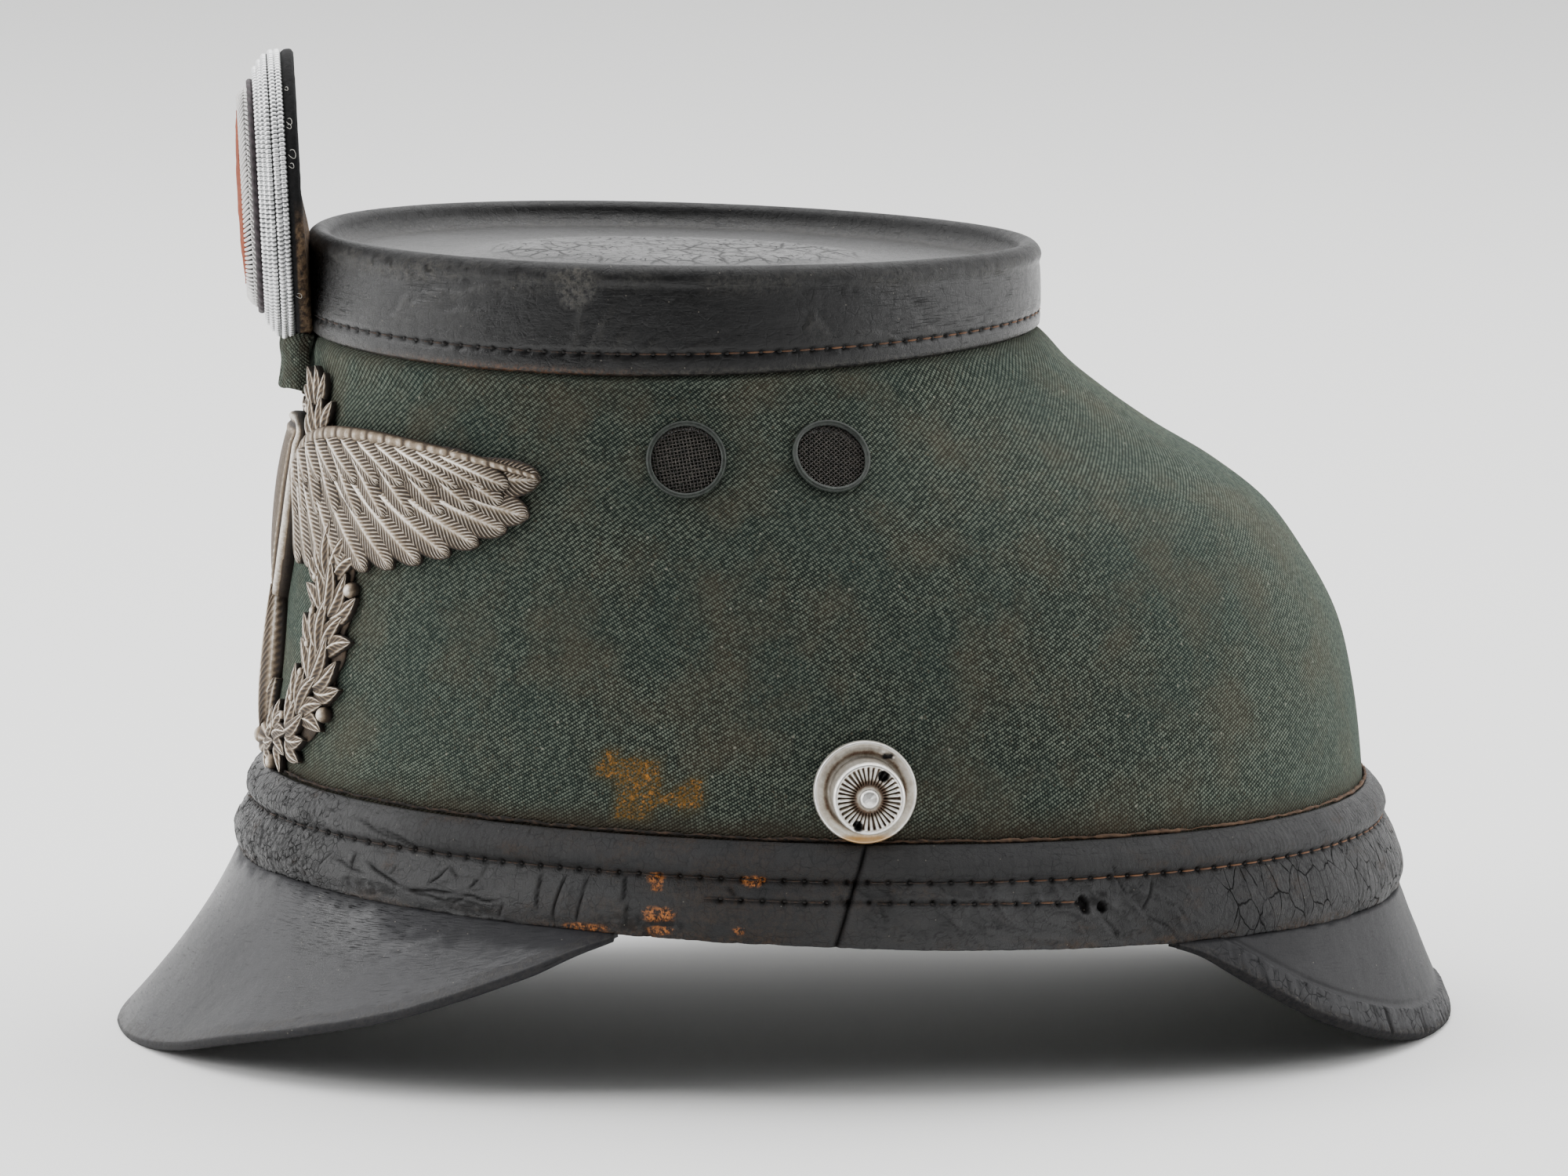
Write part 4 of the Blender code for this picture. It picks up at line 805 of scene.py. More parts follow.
def makeCrown():
    # the profile carried round the plan, moved along its normals by the groove, needle holes,
    # scratches, rim scuffs and swellings, and closed below by its own inner face
    print("crown")
    rows, grow = crownProfile()
    turn, s, length = evenTurns(crownRim, crown["columns"])
    points = np.concatenate([planPoints(rows[[k]], turn, grow[k]) for k in range(len(rows))])
    centre = points[-1].mean(0)
    shrink = np.linspace(1, 0, 9)[1:, None, None]
    points = np.concatenate([points, centre + (points[-1] - centre) * shrink])
    lift = runAlong(points[:, len(turn) // 4])
    v = np.broadcast_to(lift[:, None], points.shape[:2])
    s = np.broadcast_to(s, v.shape)
    normals = outwards(gridNormals(points[:-1], closeColumns=True), points[:-1], np.array([0, -20, 150.0]))
    normals = np.concatenate([normals, np.broadcast_to((0, 0, 1.0), (1, len(turn), 3))])
    sideTop = 17.5
    sideShare = 1 - ease((v - sideTop) / 3.0)
    hole = np.hypot((s / crown["stitchSpacing"] % 1 - 0.5) * crown["stitchSpacing"],
                    v - crown["stitchHeight"])
    hole = np.exp(-(hole / 0.55) ** 2) * (v < 8)
    groove = np.exp(-((v - crown["stitchHeight"]) / 0.8) ** 2)
    scratch, bank = scored(s, v, crown["scratches"], 0.42)
    rimBand = np.exp(-((v - sideTop - 1.5) / 2.6) ** 2)
    scuffed = np.exp(-((s - 58) / 28.0) ** 2)
    rough = clouds(s / 2.0, v / 1.6, 31) * rimBand * (ease(clouds(s / 22.0, v / 9.0, 33) * 2 + 0.6) + scuffed)
    top = ease((v - 26) / 6.0)
    x, y = points[..., 0], points[..., 1]
    low = 0.12 * clouds(s / 14.0, v / 9.0, 35) * sideShare - 0.30 * groove * (v < 8)
    offset = low - 0.55 * hole - 0.24 * scratch + 0.16 * bank + 0.26 * rough
    offset = offset + 0.12 * clouds(x / 20.0, y / 20.0, 36) * top
    points = points + normals * offset[..., None]
    worn = np.clip(rimBand * (0.3 + 0.5 * scuffed) * ease(clouds(s / 16.0, v / 6.0, 38) * 2 + 0.75)
                   + 0.7 * patchMark(s, v, crown["wornPatch"]) + 0.3 * bank, 0, 1)
    worn = np.maximum(worn, 0.5 * np.exp(-(v / 1.0) ** 2))
    worn = np.maximum(worn, 0.35 * top * ease((40 - v) / 10.0))
    pits = rimBand * scuffed * ease(clouds(s / 1.4, v / 1.1, 44) * 3 - 0.2)
    fromFront = np.minimum(s, length - s)
    # painted shade: next to the cockade the crown's side is darkened through the crack mark, where the
    # cockade shades it, and dulled
    behind = sideShare * (1 - ease((fromFront - 10) / 7.0))
    strokes = sideShare * (0.25 + 0.75 * ease(clouds(s / 15.0, v / 6.0, 45) * 2 + 0.2)) * (v > 6)
    # the crack mark here is painted shade in the needle holes, the stitch groove and next to the cockade,
    # with the scuffs' own dark pits
    marks = {"worn": worn, "crack": np.clip(1.3 * hole + 0.25 * groove * (v < 8) + 0.7 * pits
                                      + 0.6 * behind, 0, 1),
             "scratched": 0.8 * strokes,
             "crackled": 0.7 * ease((v - 60) / 6.0) * ease(clouds(x / 14, y / 14, 46) * 2 + 0.8),
             "craze": 0.15 + 0.7 * ease((v - 62) / 5.0),
             "stain": 0.25 * np.exp(-(v / 0.8) ** 2) * np.exp(-((s - 74) / 24.0) ** 2),
             "matte": np.clip(0.55 * np.exp(-((s - 128) / 40.0) ** 2) * sideShare + behind
                              + 0.85 * ease((v - 17.5) / 4.0) * ease((32 - v) / 7.0) + 0.2 * top, 0, 1)}
    uv = np.stack([s, v], -1)
    uv = np.concatenate([uv, np.concatenate([uv[:, :1, :1] + length, uv[:, :1, 1:]], -1)], 1)
    inner = (points - normals * crown["wall"])
    edge = (points[:1] + inner[:1]) / 2 - np.array([0, 0, crown["wall"] / 2])
    keep = np.r_[np.arange(0, len(points) - 1, 5), len(points) - 1]
    allPoints = np.concatenate([inner[keep][::-1], edge, points])
    uv = np.concatenate([uv[keep][::-1], uv[:1], uv])
    marks = {k: np.concatenate([m[keep][::-1], m[:1], m]) for k, m in marks.items()}
    makePiece("leatherCrown", [gridPart(allPoints, closeColumns=True, uv=uv, marks=marks)],
              crownLeather, ("crown_top",), weld=True)
    row = int(np.argmin(np.abs(lift - crown["stitchHeight"])))
    count = int(length / crown["stitchSpacing"])
    at = np.round(np.arange(count) * crown["stitchSpacing"] / length * len(turn)).astype(int) % len(turn)
    along = unit(np.roll(points[row], -1, 0) - np.roll(points[row], 1, 0))
    pale = 0.08 + 0.3 * ease((s[row, at] - 90) / 60.0)
    stitches = stitchPart(points[row, at] - normals[row, at] * 0.1, along[at], normals[row, at],
                          2.6, 0.2, pale)
    # painted shade: a short dark bead at each needle hole between the stitches stands in for the hole's shade
    at = np.round((np.arange(count) + 0.5) * crown["stitchSpacing"] / length
                  * len(turn)).astype(int) % len(turn)
    holes = stitchPart(points[row, at] - normals[row, at] * 0.05, along[at], normals[row, at],
                       1.1, 0.36, 0 * s[row, at])
    makePiece("crownStitches", [stitches, holes], paleThread)


makeCrown()


band = {
    "wall": 1.5,
    "round": 694.2,           # the way round it at its step
    "tall": 21.0,             # the height that the shares below are of
    "rows": 58,
    "columns": {"near": 430, "far": 220},
    "seamTopY": 9.2,
    "seamFootY": 3.2,
    "gap": 0.03,
    "stitchSpacing": 4.3,
    "lineShare": 0.635,       # where the stitched step lies
    # the second row of stitches, on the sides only: from s, to s, share of the height
    "secondLine": (140.4, 218.5, 0.42),
    # creases: s, share of the height, to s, share, strength
    "creases": ((57.5, .86, 78.5, .63, .7), (64.5, .81, 81, .61, .6), (64, .40, 74.5, .19, 1.0),
                (74.5, .19, 88, .20, 1.0), (88, .20, 97.5, .19, .9), (75, .19, 86, .09, .9),
                (86, .09, 90, .18, .8), (81, .26, 85.2, .52, .9), (85.2, .52, 88, .38, .6),
                (90.8, .28, 92.6, .40, .8), (92.6, .40, 93.5, .66, .6), (60, .50, 60.5, .24, .7),
                (50, .20, 53.5, .45, .7), (54, .36, 64.7, .25, .7), (70.5, .30, 72, .44, .5),
                (97, .02, 98.5, .17, .8), (106.2, .58, 106, .12, .7), (109.2, .0, 111.8, .60, 1.0),
                (114.4, .0, 116.6, .62, 1.0), (124.6, .62, 124, .30, .7), (125.4, .30, 124.6, .04, .7),
                (31, .2, 34, .5, .5), (24, .55, 27, .2, .5), (40, .1, 44, .3, .6),
                (146, .56, 147, .44, .6), (168, .5, 169.5, .36, .6), (226, .80, 229, .42, .6),
                (236, .6, 231, .3, .8), (231, .3, 240, .04, .7), (222, .30, 226, .05, .7)),
    # crumpled patches and dark worn ones: s, share, half width, half height as a share
    "crumpled": ((65, .12, 8, .09), (90, .08, 7, .08), (44, .72, 6, .06), (128, .1, 10, .1),
                 (222, .42, 2.5, .1)),
    "holes": ((218.5, .40, 1.1, .09), (222.5, .36, 0.8, .05)),
    "stains": ((130.5, .60, 1.7, .06), (131, .50, 1.3, .05), (131.5, .22, 3.0, .09), (150.5, .62, 2.6, .06),
               (116.5, .02, 4.5, .05), (132, .05, 2.6, .05), (148, .10, 1.3, .04)),
}


def bandHalf(front):
    # rows through the outline table; each row's columns are even in angle between the seams,
    # and s runs on past the back, so that the rear half has no jump in it
    table = rowsThrough(bandTable, band["rows"])
    share = np.linspace(0, 1, band["rows"])
    seamY = band["seamFootY"] + (band["seamTopY"] - band["seamFootY"]) * share
    seamY = seamY - band["gap"] if front else seamY + band["gap"]
    start = np.arccos((seamY - table[:, 2:4].mean(1)) * 2 / (table[:, 3] - table[:, 2]))
    end = 2 * np.pi - start if front else -start
    counts = band["columns"]
    places = np.concatenate((np.linspace(0, 0.5, counts["near"]), np.linspace(0.5, 1, counts["far"] + 1)[1:]))
    turn = start[:, None] + (end - start)[:, None] * places
    points = planPoints(table, turn)
    fine = np.linspace(-np.pi, 2 * np.pi, 6001)
    spots = planPoints(bandTable[3:4], fine)[0]
    run = runAlong(spots)
    s = np.interp(np.pi, fine, run) - np.interp(turn, fine, run)
    return points, s, share[:, None] + 0 * s


def bandFromFront(s):
    # the shorter way round the band to its front
    return np.minimum(np.abs(s), band["round"] - np.abs(s))


def bandRelief(s, share, height):
    # how far the leather stands out, and its marks: the creases lie on the photographed side
    # and, shifted, on the far one; a crackled front, a wrinkled side and a crocodiled back
    fromFront = bandFromFront(s)
    near = (s >= 0) & (s < band["round"] / 2)
    tall = band["tall"]

    def marked(key, at):
        # the band's patches of one kind, with shares of the height made millimetres
        return patchMark(at, share * tall, [(p, q * tall, r, t * tall) for p, q, r, t in band[key]])
    h = share * height
    lines = [(p, q * tall, r, t * tall, k) for p, q, r, t, k in band["creases"]]
    nearCut, nearBank = scored(fromFront, share * tall, lines, 0.26)
    farCut, farBank = scored(fromFront + 21, share * tall, lines, 0.42)
    creases, banks = np.where(near, nearCut, farCut), np.where(near, nearBank, farBank)
    below = 1 - ease((share - 0.58) / 0.05)
    frontNet = cellEdges(s / 4.6 + 0.3 * noise(s / 5, h / 5, 3), h / 4.2, 51)
    frontFine = cellEdges(s / 1.5, h / 2.3 + 0.4 * noise(s / 3, h / 3, 4), 52)
    frontMask = ease((60 - fromFront) / 18.0)
    rearNet = cellEdges(s / 3.7 + 0.5 * noise(s / 6, h / 3, 5), h / 7.5 + 0.35 * noise(s / 3, h / 5, 6), 54)
    rearMask = ease((fromFront - 243) / 12.0) * below
    net = np.exp(-(frontNet / 0.06) ** 2) * frontMask * 0.8 * ease(clouds(s / 12, h / 9, 57) * 2 + 0.7)
    net = np.maximum(net, np.exp(-(frontFine / 0.13) ** 2) * frontMask * 0.55 * (share < 0.66))
    broken = 0.35 + 0.65 * ease(clouds(s / 5.0, h / 4.0, 59) * 3 + 0.6)
    net = np.maximum(net, np.exp(-(rearNet / 0.055) ** 2) * rearMask * broken * 0.3)
    crackled = np.clip(0.5 * frontMask * ease(clouds(s / 8.0, h / 5.0, 50) * 2 + 0.5)
                       + 1.1 * rearMask * broken, 0, 1)
    plates = (frontMask * 0.12 * noise(np.floor(s / 4.6), np.floor(h / 4.2), 58)
              + 0.05 * rearMask * ease(rearNet / 0.2))
    wrinkle = ease((fromFront - 166) / 12.0) * (1 - ease((fromFront - 238) / 12.0)) * below
    grain = (0.05 * np.sin(s * 2 * np.pi / 0.95 + 2.5 * noise(s / 4, h / 3, 55)) * rearMask
             * ease(clouds(s / 7, h / 9, 56) * 2 + 0.5))
    swirl = clouds((s + 0.8 * h) / 3.2 + 1.2 * noise(s / 7, h / 7, 61), h / 6.0, 62, 3)
    folded = 0.55 * (0.5 - np.abs(swirl) * 2.4).clip(-0.6, 0.5) * wrinkle * ease(h / 3.0)
    crumple = np.where(near, marked("crumpled", fromFront), marked("crumpled", fromFront + 14))
    crumpled = crumple * (0.30 * np.abs(clouds(s / 1.5 + noise(h / 3, s / 6, 64), h / 1.1, 64, 2)) - 0.3)
    pleats = 0.04 * np.sin(s * 2 * np.pi / 1.35 + 4 * noise(s / 4, h / 9, 63)) * (share > 0.70)
    lumps = 0.30 * clouds(s / 11.0, h / 7.0, 65) + 0.12 * (1 - 0.8 * rearMask) * clouds(s / 2.5, h / 2.5, 66)
    domes = 0.45 * np.sqrt(np.clip(1 - ((share - 0.83) / 0.19) ** 2, 0, 1)) - 0.1
    edgeWear = np.exp(-(h / 1.5) ** 2)
    offset = lumps * 0.8 + folded + pleats + plates + crumpled + domes - 0.55 * creases + 0.24 * banks
    offset = offset + grain - 0.24 * net - 0.3 * edgeWear * (clouds(s / 5.0, h / 2.0, 67) + 0.5)
    worn = np.clip(0.7 * edgeWear * ease(clouds(s / 9, h / 3, 68) * 2 + 0.6)
                   + 0.5 * ease(clouds(s / 7.0, h / 4.0, 69) * 2.5 - 0.7)
                   + 0.45 * np.exp(-((fromFront - 138) / 30.0) ** 2)
                   * ease(clouds(s / 8.0, h / 5.0, 49) * 2 + 0.5), 0, 1)
    stain = marked("stains", s) * near
    # the leather's own crumple and wrinkle cracks, and the creases painted darker along their lines: painted
    # shade in them
    bandCracksAndShade = np.maximum(np.maximum(creases, net),
                        0.45 * crumple * ease(clouds(s / 1.3, h / 1.3, 60) * 3 + 0.5))
    bandCracksAndShade = np.maximum(bandCracksAndShade, 0.5 * np.exp(-(swirl / 0.035) ** 2) * wrinkle)
    # painted shade: the torn holes are sunk and painted dark through the same mark
    hole = marked("holes", fromFront) * near
    offset, bandCracksAndShade = offset - 1.2 * hole, np.maximum(bandCracksAndShade, hole)
    craze = 0.25 + 0.75 * frontMask
    matte = 0.55 * ease((fromFront - 205) / 40.0) + 0.6 * np.exp(-((fromFront - 148) / 28.0) ** 2)
    matte = np.maximum(matte, 0.5 * ease((share - 0.66) / 0.03) * ease((fromFront - 62) / 20.0))
    return offset, {"worn": worn, "crack": np.clip(bandCracksAndShade * 0.9, 0, 1), "craze": craze,
                    "stain": stain, "matte": matte,
                    "crackled": crackled}


def stitchLine(s, off, spacing):
    # a sunk line of stitches at off = 0, with a needle hole between each two stitches
    line = np.exp(-(off / 0.55) ** 2)
    hole = np.exp(-(((s / spacing % 1) - 0.5) * spacing / 0.5) ** 2) * np.exp(-(off / 0.7) ** 2)
    return line, hole


def makeBands():
    # each half: the relief less 0.42 of the stitch lines, 0.45 of the holes and 0.5 of the seams,
    # then thread stitches and holes along both lines
    print("leather band")
    spacing = band["stitchSpacing"]
    for name, front, node in (("bandFrontHalf", True, "front_band"), ("bandRearHalf", False, "rear_band")):
        points, s, share = bandHalf(front)
        normals = outwards(gridNormals(points), points, np.array([0, 5, 45.0]))
        height = np.linalg.norm(points[-1] - points[0], axis=-1)[None]
        offset, marks = bandRelief(s, share, height)
        line, hole = stitchLine(s, (share - band["lineShare"]) * height, spacing)
        first, last, secondShare = band["secondLine"]
        fromFront = bandFromFront(s)
        onSecond = ease((fromFront - first) / 1.5) * ease((last - fromFront) / 1.5)
        secondOff = (share - secondShare) * height + 0.5 * noise(s / 9, 0 * s, 6)
        second, secondHole = stitchLine(s, secondOff, spacing)
        line, hole = np.maximum(line, second * onSecond * 0.7), np.maximum(hole, secondHole * onSecond)
        fromSeam = np.minimum(np.abs(s - s[:, :1]), np.abs(s - s[:, -1:]))
        seam = np.exp(-(fromSeam / 0.5) ** 2)
        offset = offset - 0.42 * line - 0.45 * hole - 0.5 * seam
        # the crack mark paints shade into the needle holes and, more lightly, along the sunk stitch line, and
        # darkens the seams' own joint
        marks["crack"] = np.clip(np.maximum(marks["crack"], hole + 0.35 * line) + 0.8 * seam, 0, 1)
        marks["worn"] = np.clip(marks["worn"] + 0.55 * line * ease(clouds(s / 8, 0 * s, 53) * 2 + 0.5), 0, 1)
        top = 1 - ease((share - 0.95) / 0.05)
        points = points + normals * (offset * np.clip(top, 0.25, 1))[..., None]
        uv = np.stack([s, share * height], -1)
        makePiece(name, [shellPart(points, normals, band["wall"], uv=uv, marks=marks, innerStep=6)],
                  bandLeather, (node,), weld=True)
        stitches = []
        for share0, start, end in ((band["lineShare"], 0, 400), (secondShare, first, last)):
            row = int(round(share0 * (band["rows"] - 1)))
            # painted shade: the second kind is a short dark bead at each needle hole between the stitches,
            # standing in for the hole's shade
            for phase, long, radius in ((0.0, 3.1, 0.19), (0.5, 0.8, 0.27)):
                at = np.arange(np.ceil((s[row].min() + 3) / spacing) + phase,
                               s[row].max() / spacing - 1) * spacing
                away = bandFromFront(at)
                at = at[(away > start) & (away < end)]
                at = np.interp(at, np.sort(s[row]), np.argsort(s[row])).round().astype(int)
                along = unit(points[row, at + 1] - points[row, at - 1])
                pale = 0.08 + 0.36 * ease((bandFromFront(s[row, at]) - 185) / 50.0)
                stitches.append(stitchPart(points[row, at], along, normals[row, at], long, radius,
                                           pale * (phase == 0)))
        makePiece(name + "Stitches", stitches, paleThread)


makeBands()


def makeFrayedEdge():
    # the cloth's cut edge over the band: a ragged cord with short loose fibres, dark at the
    # front and paler brown to the rear
    row = np.array([(58.1, 52.6, -110.9, 125.8, 93.7, 0.05, 0.0)])
    turn, s, length = evenTurns(row, 1000)
    path = planPoints(row, turn, 0.45)[0]
    ahead = unit(np.roll(path, -1, 0) - np.roll(path, 1, 0))
    up = np.broadcast_to((0, 0, 1.0), path.shape)
    out = unit(np.cross(ahead, up))
    wander = 0.2 * noise(s / 2.3, 0 * s, 13)
    path = path + up * wander[:, None]
    radius = 0.34 + 0.16 * noise(s / 0.8, 0 * s, 11) + 0.12 * noise(s / 5.0, 0 * s, 12)
    fromFront = np.minimum(s, length - s)
    pale = 0.06 + 0.42 * ease((fromFront - 120) / 120.0)
    around = np.arange(6)[None, :]
    cord = gridPart(tubePoints(path, out, up, radius, 6), True, True,
                    marks={"raised": np.clip(pale[:, None] + 0.3 * noise(s[:, None] / 0.7, around, 14),
                                             0, 1)})
    at = np.arange(0, 1000, 2)
    t = np.linspace(0, 1, 4)[None, :, None]
    lean = (hashed(at, 1, 15) * 2 - 1)[:, None, None]
    long = (0.5 + 1.1 * hashed(at, 2, 16))[:, None, None]
    rise = (0.2 + 0.8 * hashed(at, 3, 17))[:, None, None]
    fibres = path[at][:, None] + t * long * (ahead[at][:, None] * lean + up[at][:, None] * rise)
    fibres = fibres + (out[at][:, None] * 0.5 * t * (1 - t)
                       * np.sign(out[0, 0] * path[0, 0] + out[0, 1] * path[0, 1]))
    thick = 0.07 * (1.1 - t[..., 0]) + 0 * long[..., 0]
    tubes = tubePoints(fibres, np.broadcast_to(out[at][:, None], fibres.shape),
                       np.broadcast_to(ahead[at][:, None], fibres.shape), thick, 3)
    tubes = manyParts(tubes, {"raised": (pale[at] + 0.25)[:, None, None]}, closeColumns=True)
    makePiece("frayedClothEdge", [cord, tubes], frayedWool)


makeFrayedEdge()


frontPeak = {
    # where it leaves the band's edge (y), how far out its edge is, and the edge's height
    "rows": ((-42, 1, 34.3), (-47, 4, 32.6), (-56, 8, 28.1), (-66, 11.5, 23.3), (-78, 15, 17.7),
             (-92, 18.8, 12.4),
             (-104, 22.2, 7.4), (-112, 24.7, 2.6), (-116.5, 26.5, 0.4), (-118.3, 27.3, 0)),
    "bend": (0.31, 0.50),
    "rimWidth": 1.2, "rimRise": 0.0, "wrinkles": 0.03, "folds": 0.10, "dullEdge": 2.0, "dullHem": 4.5,
    "scratched": 1.0,
    "columns": 380,
}
rearPeak = {
    "rows": ((75, 0.8, 30.4), (80, 1.6, 28), (86, 2.6, 23.9), (94, 4.4, 18.1), (102, 6, 12.3), (110, 8, 7.5),
             (118, 9.4, 3.4), (124, 10.3, 1), (129, 11, 0), (134.1, 11.4, 0)),
    "bend": (0.46, 0.50),
    "rimWidth": 6.0, "rimRise": 0.8, "wrinkles": 0.16, "folds": 0.16, "dullEdge": 0.6, "dullHem": 1.0,
    "scratched": 0.15,
    "columns": 380,
}
peakWall = {"thickness": 2.6, "endShare": 0.35, "thickeningDrop": 12.0, "tuck": (-0.2, -0.35),
            "flange": ((-1.9, 6.5), (-1.9, -0.3)), "flangeBack": ((-3.3, -1.6), (-3.3, 6.5))}


def peakSections(look):
    # sections square to the band's lower edge: out = overhang, up = height above that edge. The
    # face is (1-q)^2 start + 2 q (1-q) pulled + q^2 end, then a half round, and the face again
    # one wall below; a rim stands rimRise proud over the last rimWidth
    hem = bandTable[:1]
    table = np.array(look["rows"], float)
    middle, half = (hem[0, 2] + hem[0, 3]) / 2, (hem[0, 3] - hem[0, 2]) / 2
    turns = np.arccos(np.clip((table[:, 0] - middle) / half, -1, 1))
    order = np.argsort(turns)
    across = np.linspace(-1, 1, look["columns"])
    turn = turns[-1] + (turns[0] - turns[-1]) * np.abs(across)
    overhang, edgeZ = throughTable(turns[order], table[order, 1:], turn).T
    foot = planPoints(hem, turn)[0]
    along = planPoints(hem, turn + 0.01)[0] - planPoints(hem, turn - 0.01)[0]
    out = unit(np.stack([-along[:, 1], along[:, 0], 0 * turn], -1))
    out = out * np.sign((out * (foot - np.array([0, 5, 0]))).sum(-1, keepdims=True))
    out[:, 0] = np.where(np.abs(across) < 1e-9, 0, out[:, 0])
    mirror = np.stack([np.where(across < 0, -1, 1), np.ones_like(across), np.ones_like(across)], -1)
    drop = foot[:, 2] - edgeZ
    wall = peakWall["thickness"] * np.minimum(1, peakWall["endShare"] + drop / peakWall["thickeningDrop"])
    start = np.broadcast_to(peakWall["tuck"], (len(turn), 2))
    end = np.stack([overhang, -drop], -1)
    pulled = np.stack([look["bend"][0] * overhang, -look["bend"][1] * drop], -1)
    length = np.linalg.norm(end - start, axis=-1)
    s = across * np.abs(along).sum(-1).mean() * 50 * (turns[0] - turns[-1])
    last = 1 - 0.5 * wall / length

    def face(share):
        # the curve, its tangent and its normal at a share of the way to the edge
        q = (share * last)[..., None]
        spot = start * (1 - q) ** 2 + pulled * 2 * q * (1 - q) + end * q * q
        tangent = unit((pulled - start) * (1 - q) + (end - pulled) * q)
        return spot, tangent, np.stack([-tangent[..., 1], tangent[..., 0]], -1)

    share = np.concatenate((np.linspace(0, 0.6, 20)[:-1], np.linspace(0.6, 1, 32)))[:, None] + 0 * turn
    spot, tangent, normal = face(share)
    fromEdge = (1 - share) * length * last
    ridge = ease((look["rimWidth"] - fromEdge) / 0.9) * ease(length / 12.0)
    lift = (look["rimRise"] * ridge
            - 0.35 * look["rimRise"] * np.exp(-((fromEdge - look["rimWidth"] - 0.6) / 0.5) ** 2))
    wide = s + 0 * share
    wrinkle = look["wrinkles"] * ridge * (clouds(wide / 1.1, fromEdge / 7.0, 71) * 1.6
                                          - 1.2 * ease(clouds(wide / 2.7, fromEdge / 20.0, 72) * 5 - 1.9))
    soft = look["folds"] * clouds(wide / 20.0, fromEdge / 9.0, 73)
    cuts = ridge * ease(clouds(wide / 2.7, fromEdge / 20.0, 72) * 5 - 1.9) * (look["rimRise"] > 0)
    endFade = ease((1 - np.abs(across)) / 0.05)
    outer = spot + normal * ((lift + wrinkle + soft) * endFade)[..., None]
    angle = np.linspace(0, np.pi, 9)[1:-1, None, None]
    edgeLift = (lift + wrinkle + soft)[-1] * endFade
    centre = spot[-1] - normal[-1] * (wall / 2)[:, None]
    round_ = (np.cos(angle) * normal[-1]
              * (wall / 2 + edgeLift * np.cos(angle[..., 0]).clip(0)[..., 0][:, None])[..., None]
              + np.sin(angle) * tangent[-1] * (wall / 2)[:, None])
    innerShare = np.linspace(1, 0.2, 8)[:, None] + 0 * turn
    innerSpot, _, innerNormal = face(innerShare)
    inner = innerSpot - innerNormal * wall[:, None]
    flange = np.broadcast_to(np.array(peakWall["flange"])[:, None], (2, len(turn), 2))
    back = np.broadcast_to(np.array(peakWall["flangeBack"])[:, None], (2, len(turn), 2))
    section = np.concatenate([flange, outer, centre + round_, inner, back])
    points = foot + out * section[..., :1] + np.array([0, 0, 1.0]) * section[..., 1:]
    points = points * mirror
    points[..., 2] = np.maximum(points[..., 2], 0.0)
    worn = np.zeros(points.shape[:2])
    crack = worn.copy()
    first, edgeRow = 2, 2 + len(outer)
    worn[first:edgeRow] = (np.exp(-(fromEdge / 0.9) ** 2) * 0.7
                           * ease(clouds(wide / 5, fromEdge, 75) * 2 + 0.8))
    worn[edgeRow:edgeRow + 4] = 0.35
    matte = np.full(points.shape[:2], 0.7)
    ragged = fromEdge + 0.9 * clouds(wide / 2.5, fromEdge / 2.5, 76)
    dull = 1 - ease((ragged - look["dullEdge"]) / 1.2)
    fromHem = share * length + 0.7 * look["dullHem"] * clouds(wide / 4.0, fromEdge / 2.0, 77)
    patchy = ease(clouds(wide / 6.0, fromEdge / 2.0, 74) * 2 + 0.6)
    matte[first:edgeRow] = np.maximum(0.30 * dull, 0.9 * (1 - ease(fromHem / look["dullHem"])))
    worn[first:edgeRow] = np.maximum(worn[first:edgeRow], 0.5 * dull * patchy)
    scratched = np.zeros(points.shape[:2])
    where = np.exp(-((np.abs(wide) - 88) / 24.0) ** 2) * (1 - ease((fromHem - 12) / 6.0))
    scratched[first:edgeRow] = np.clip(look["scratched"] * (1.1 * where + 0.12), 0, 1)
    ends = ease((np.abs(wide) - 96) / 9.0) * (1 - ease((fromHem - 5) / 5.0)) * look["scratched"]
    front = 0.35 * look["scratched"] * (1 - ease((np.abs(wide) - 45) / 25.0)) * ease((fromHem - 8) / 14.0)
    matte[first:edgeRow] = np.maximum(matte[first:edgeRow], np.maximum(0.8 * ends, front))
    crack[first:edgeRow] = cuts * 0.55
    crack[edgeRow:edgeRow + 7] = 0.2
    craze = np.zeros(points.shape[:2])
    craze[first:edgeRow] = 0.5 * ridge * (look["rimRise"] > 0)
    v = runAlong(section[:, len(turn) // 2])
    uv = np.stack([np.broadcast_to(s, points.shape[:2]), np.broadcast_to(v[:, None], points.shape[:2])], -1)
    uv = np.concatenate([uv, uv[:1]])
    return gridPart(points, closeRows=True, uv=uv, capColumns=True,
                    marks={"worn": worn, "crack": crack, "craze": craze, "matte": matte,
                           "scratched": scratched})


print("peaks")
makePiece("frontPeakLeather", [peakSections(frontPeak)], peakLeather, ("front_peak",),
          weld=True)
makePiece("rearPeakLeather", [peakSections(rearPeak)], rearPeakLeather, ("rear_peak",),
          weld=True)


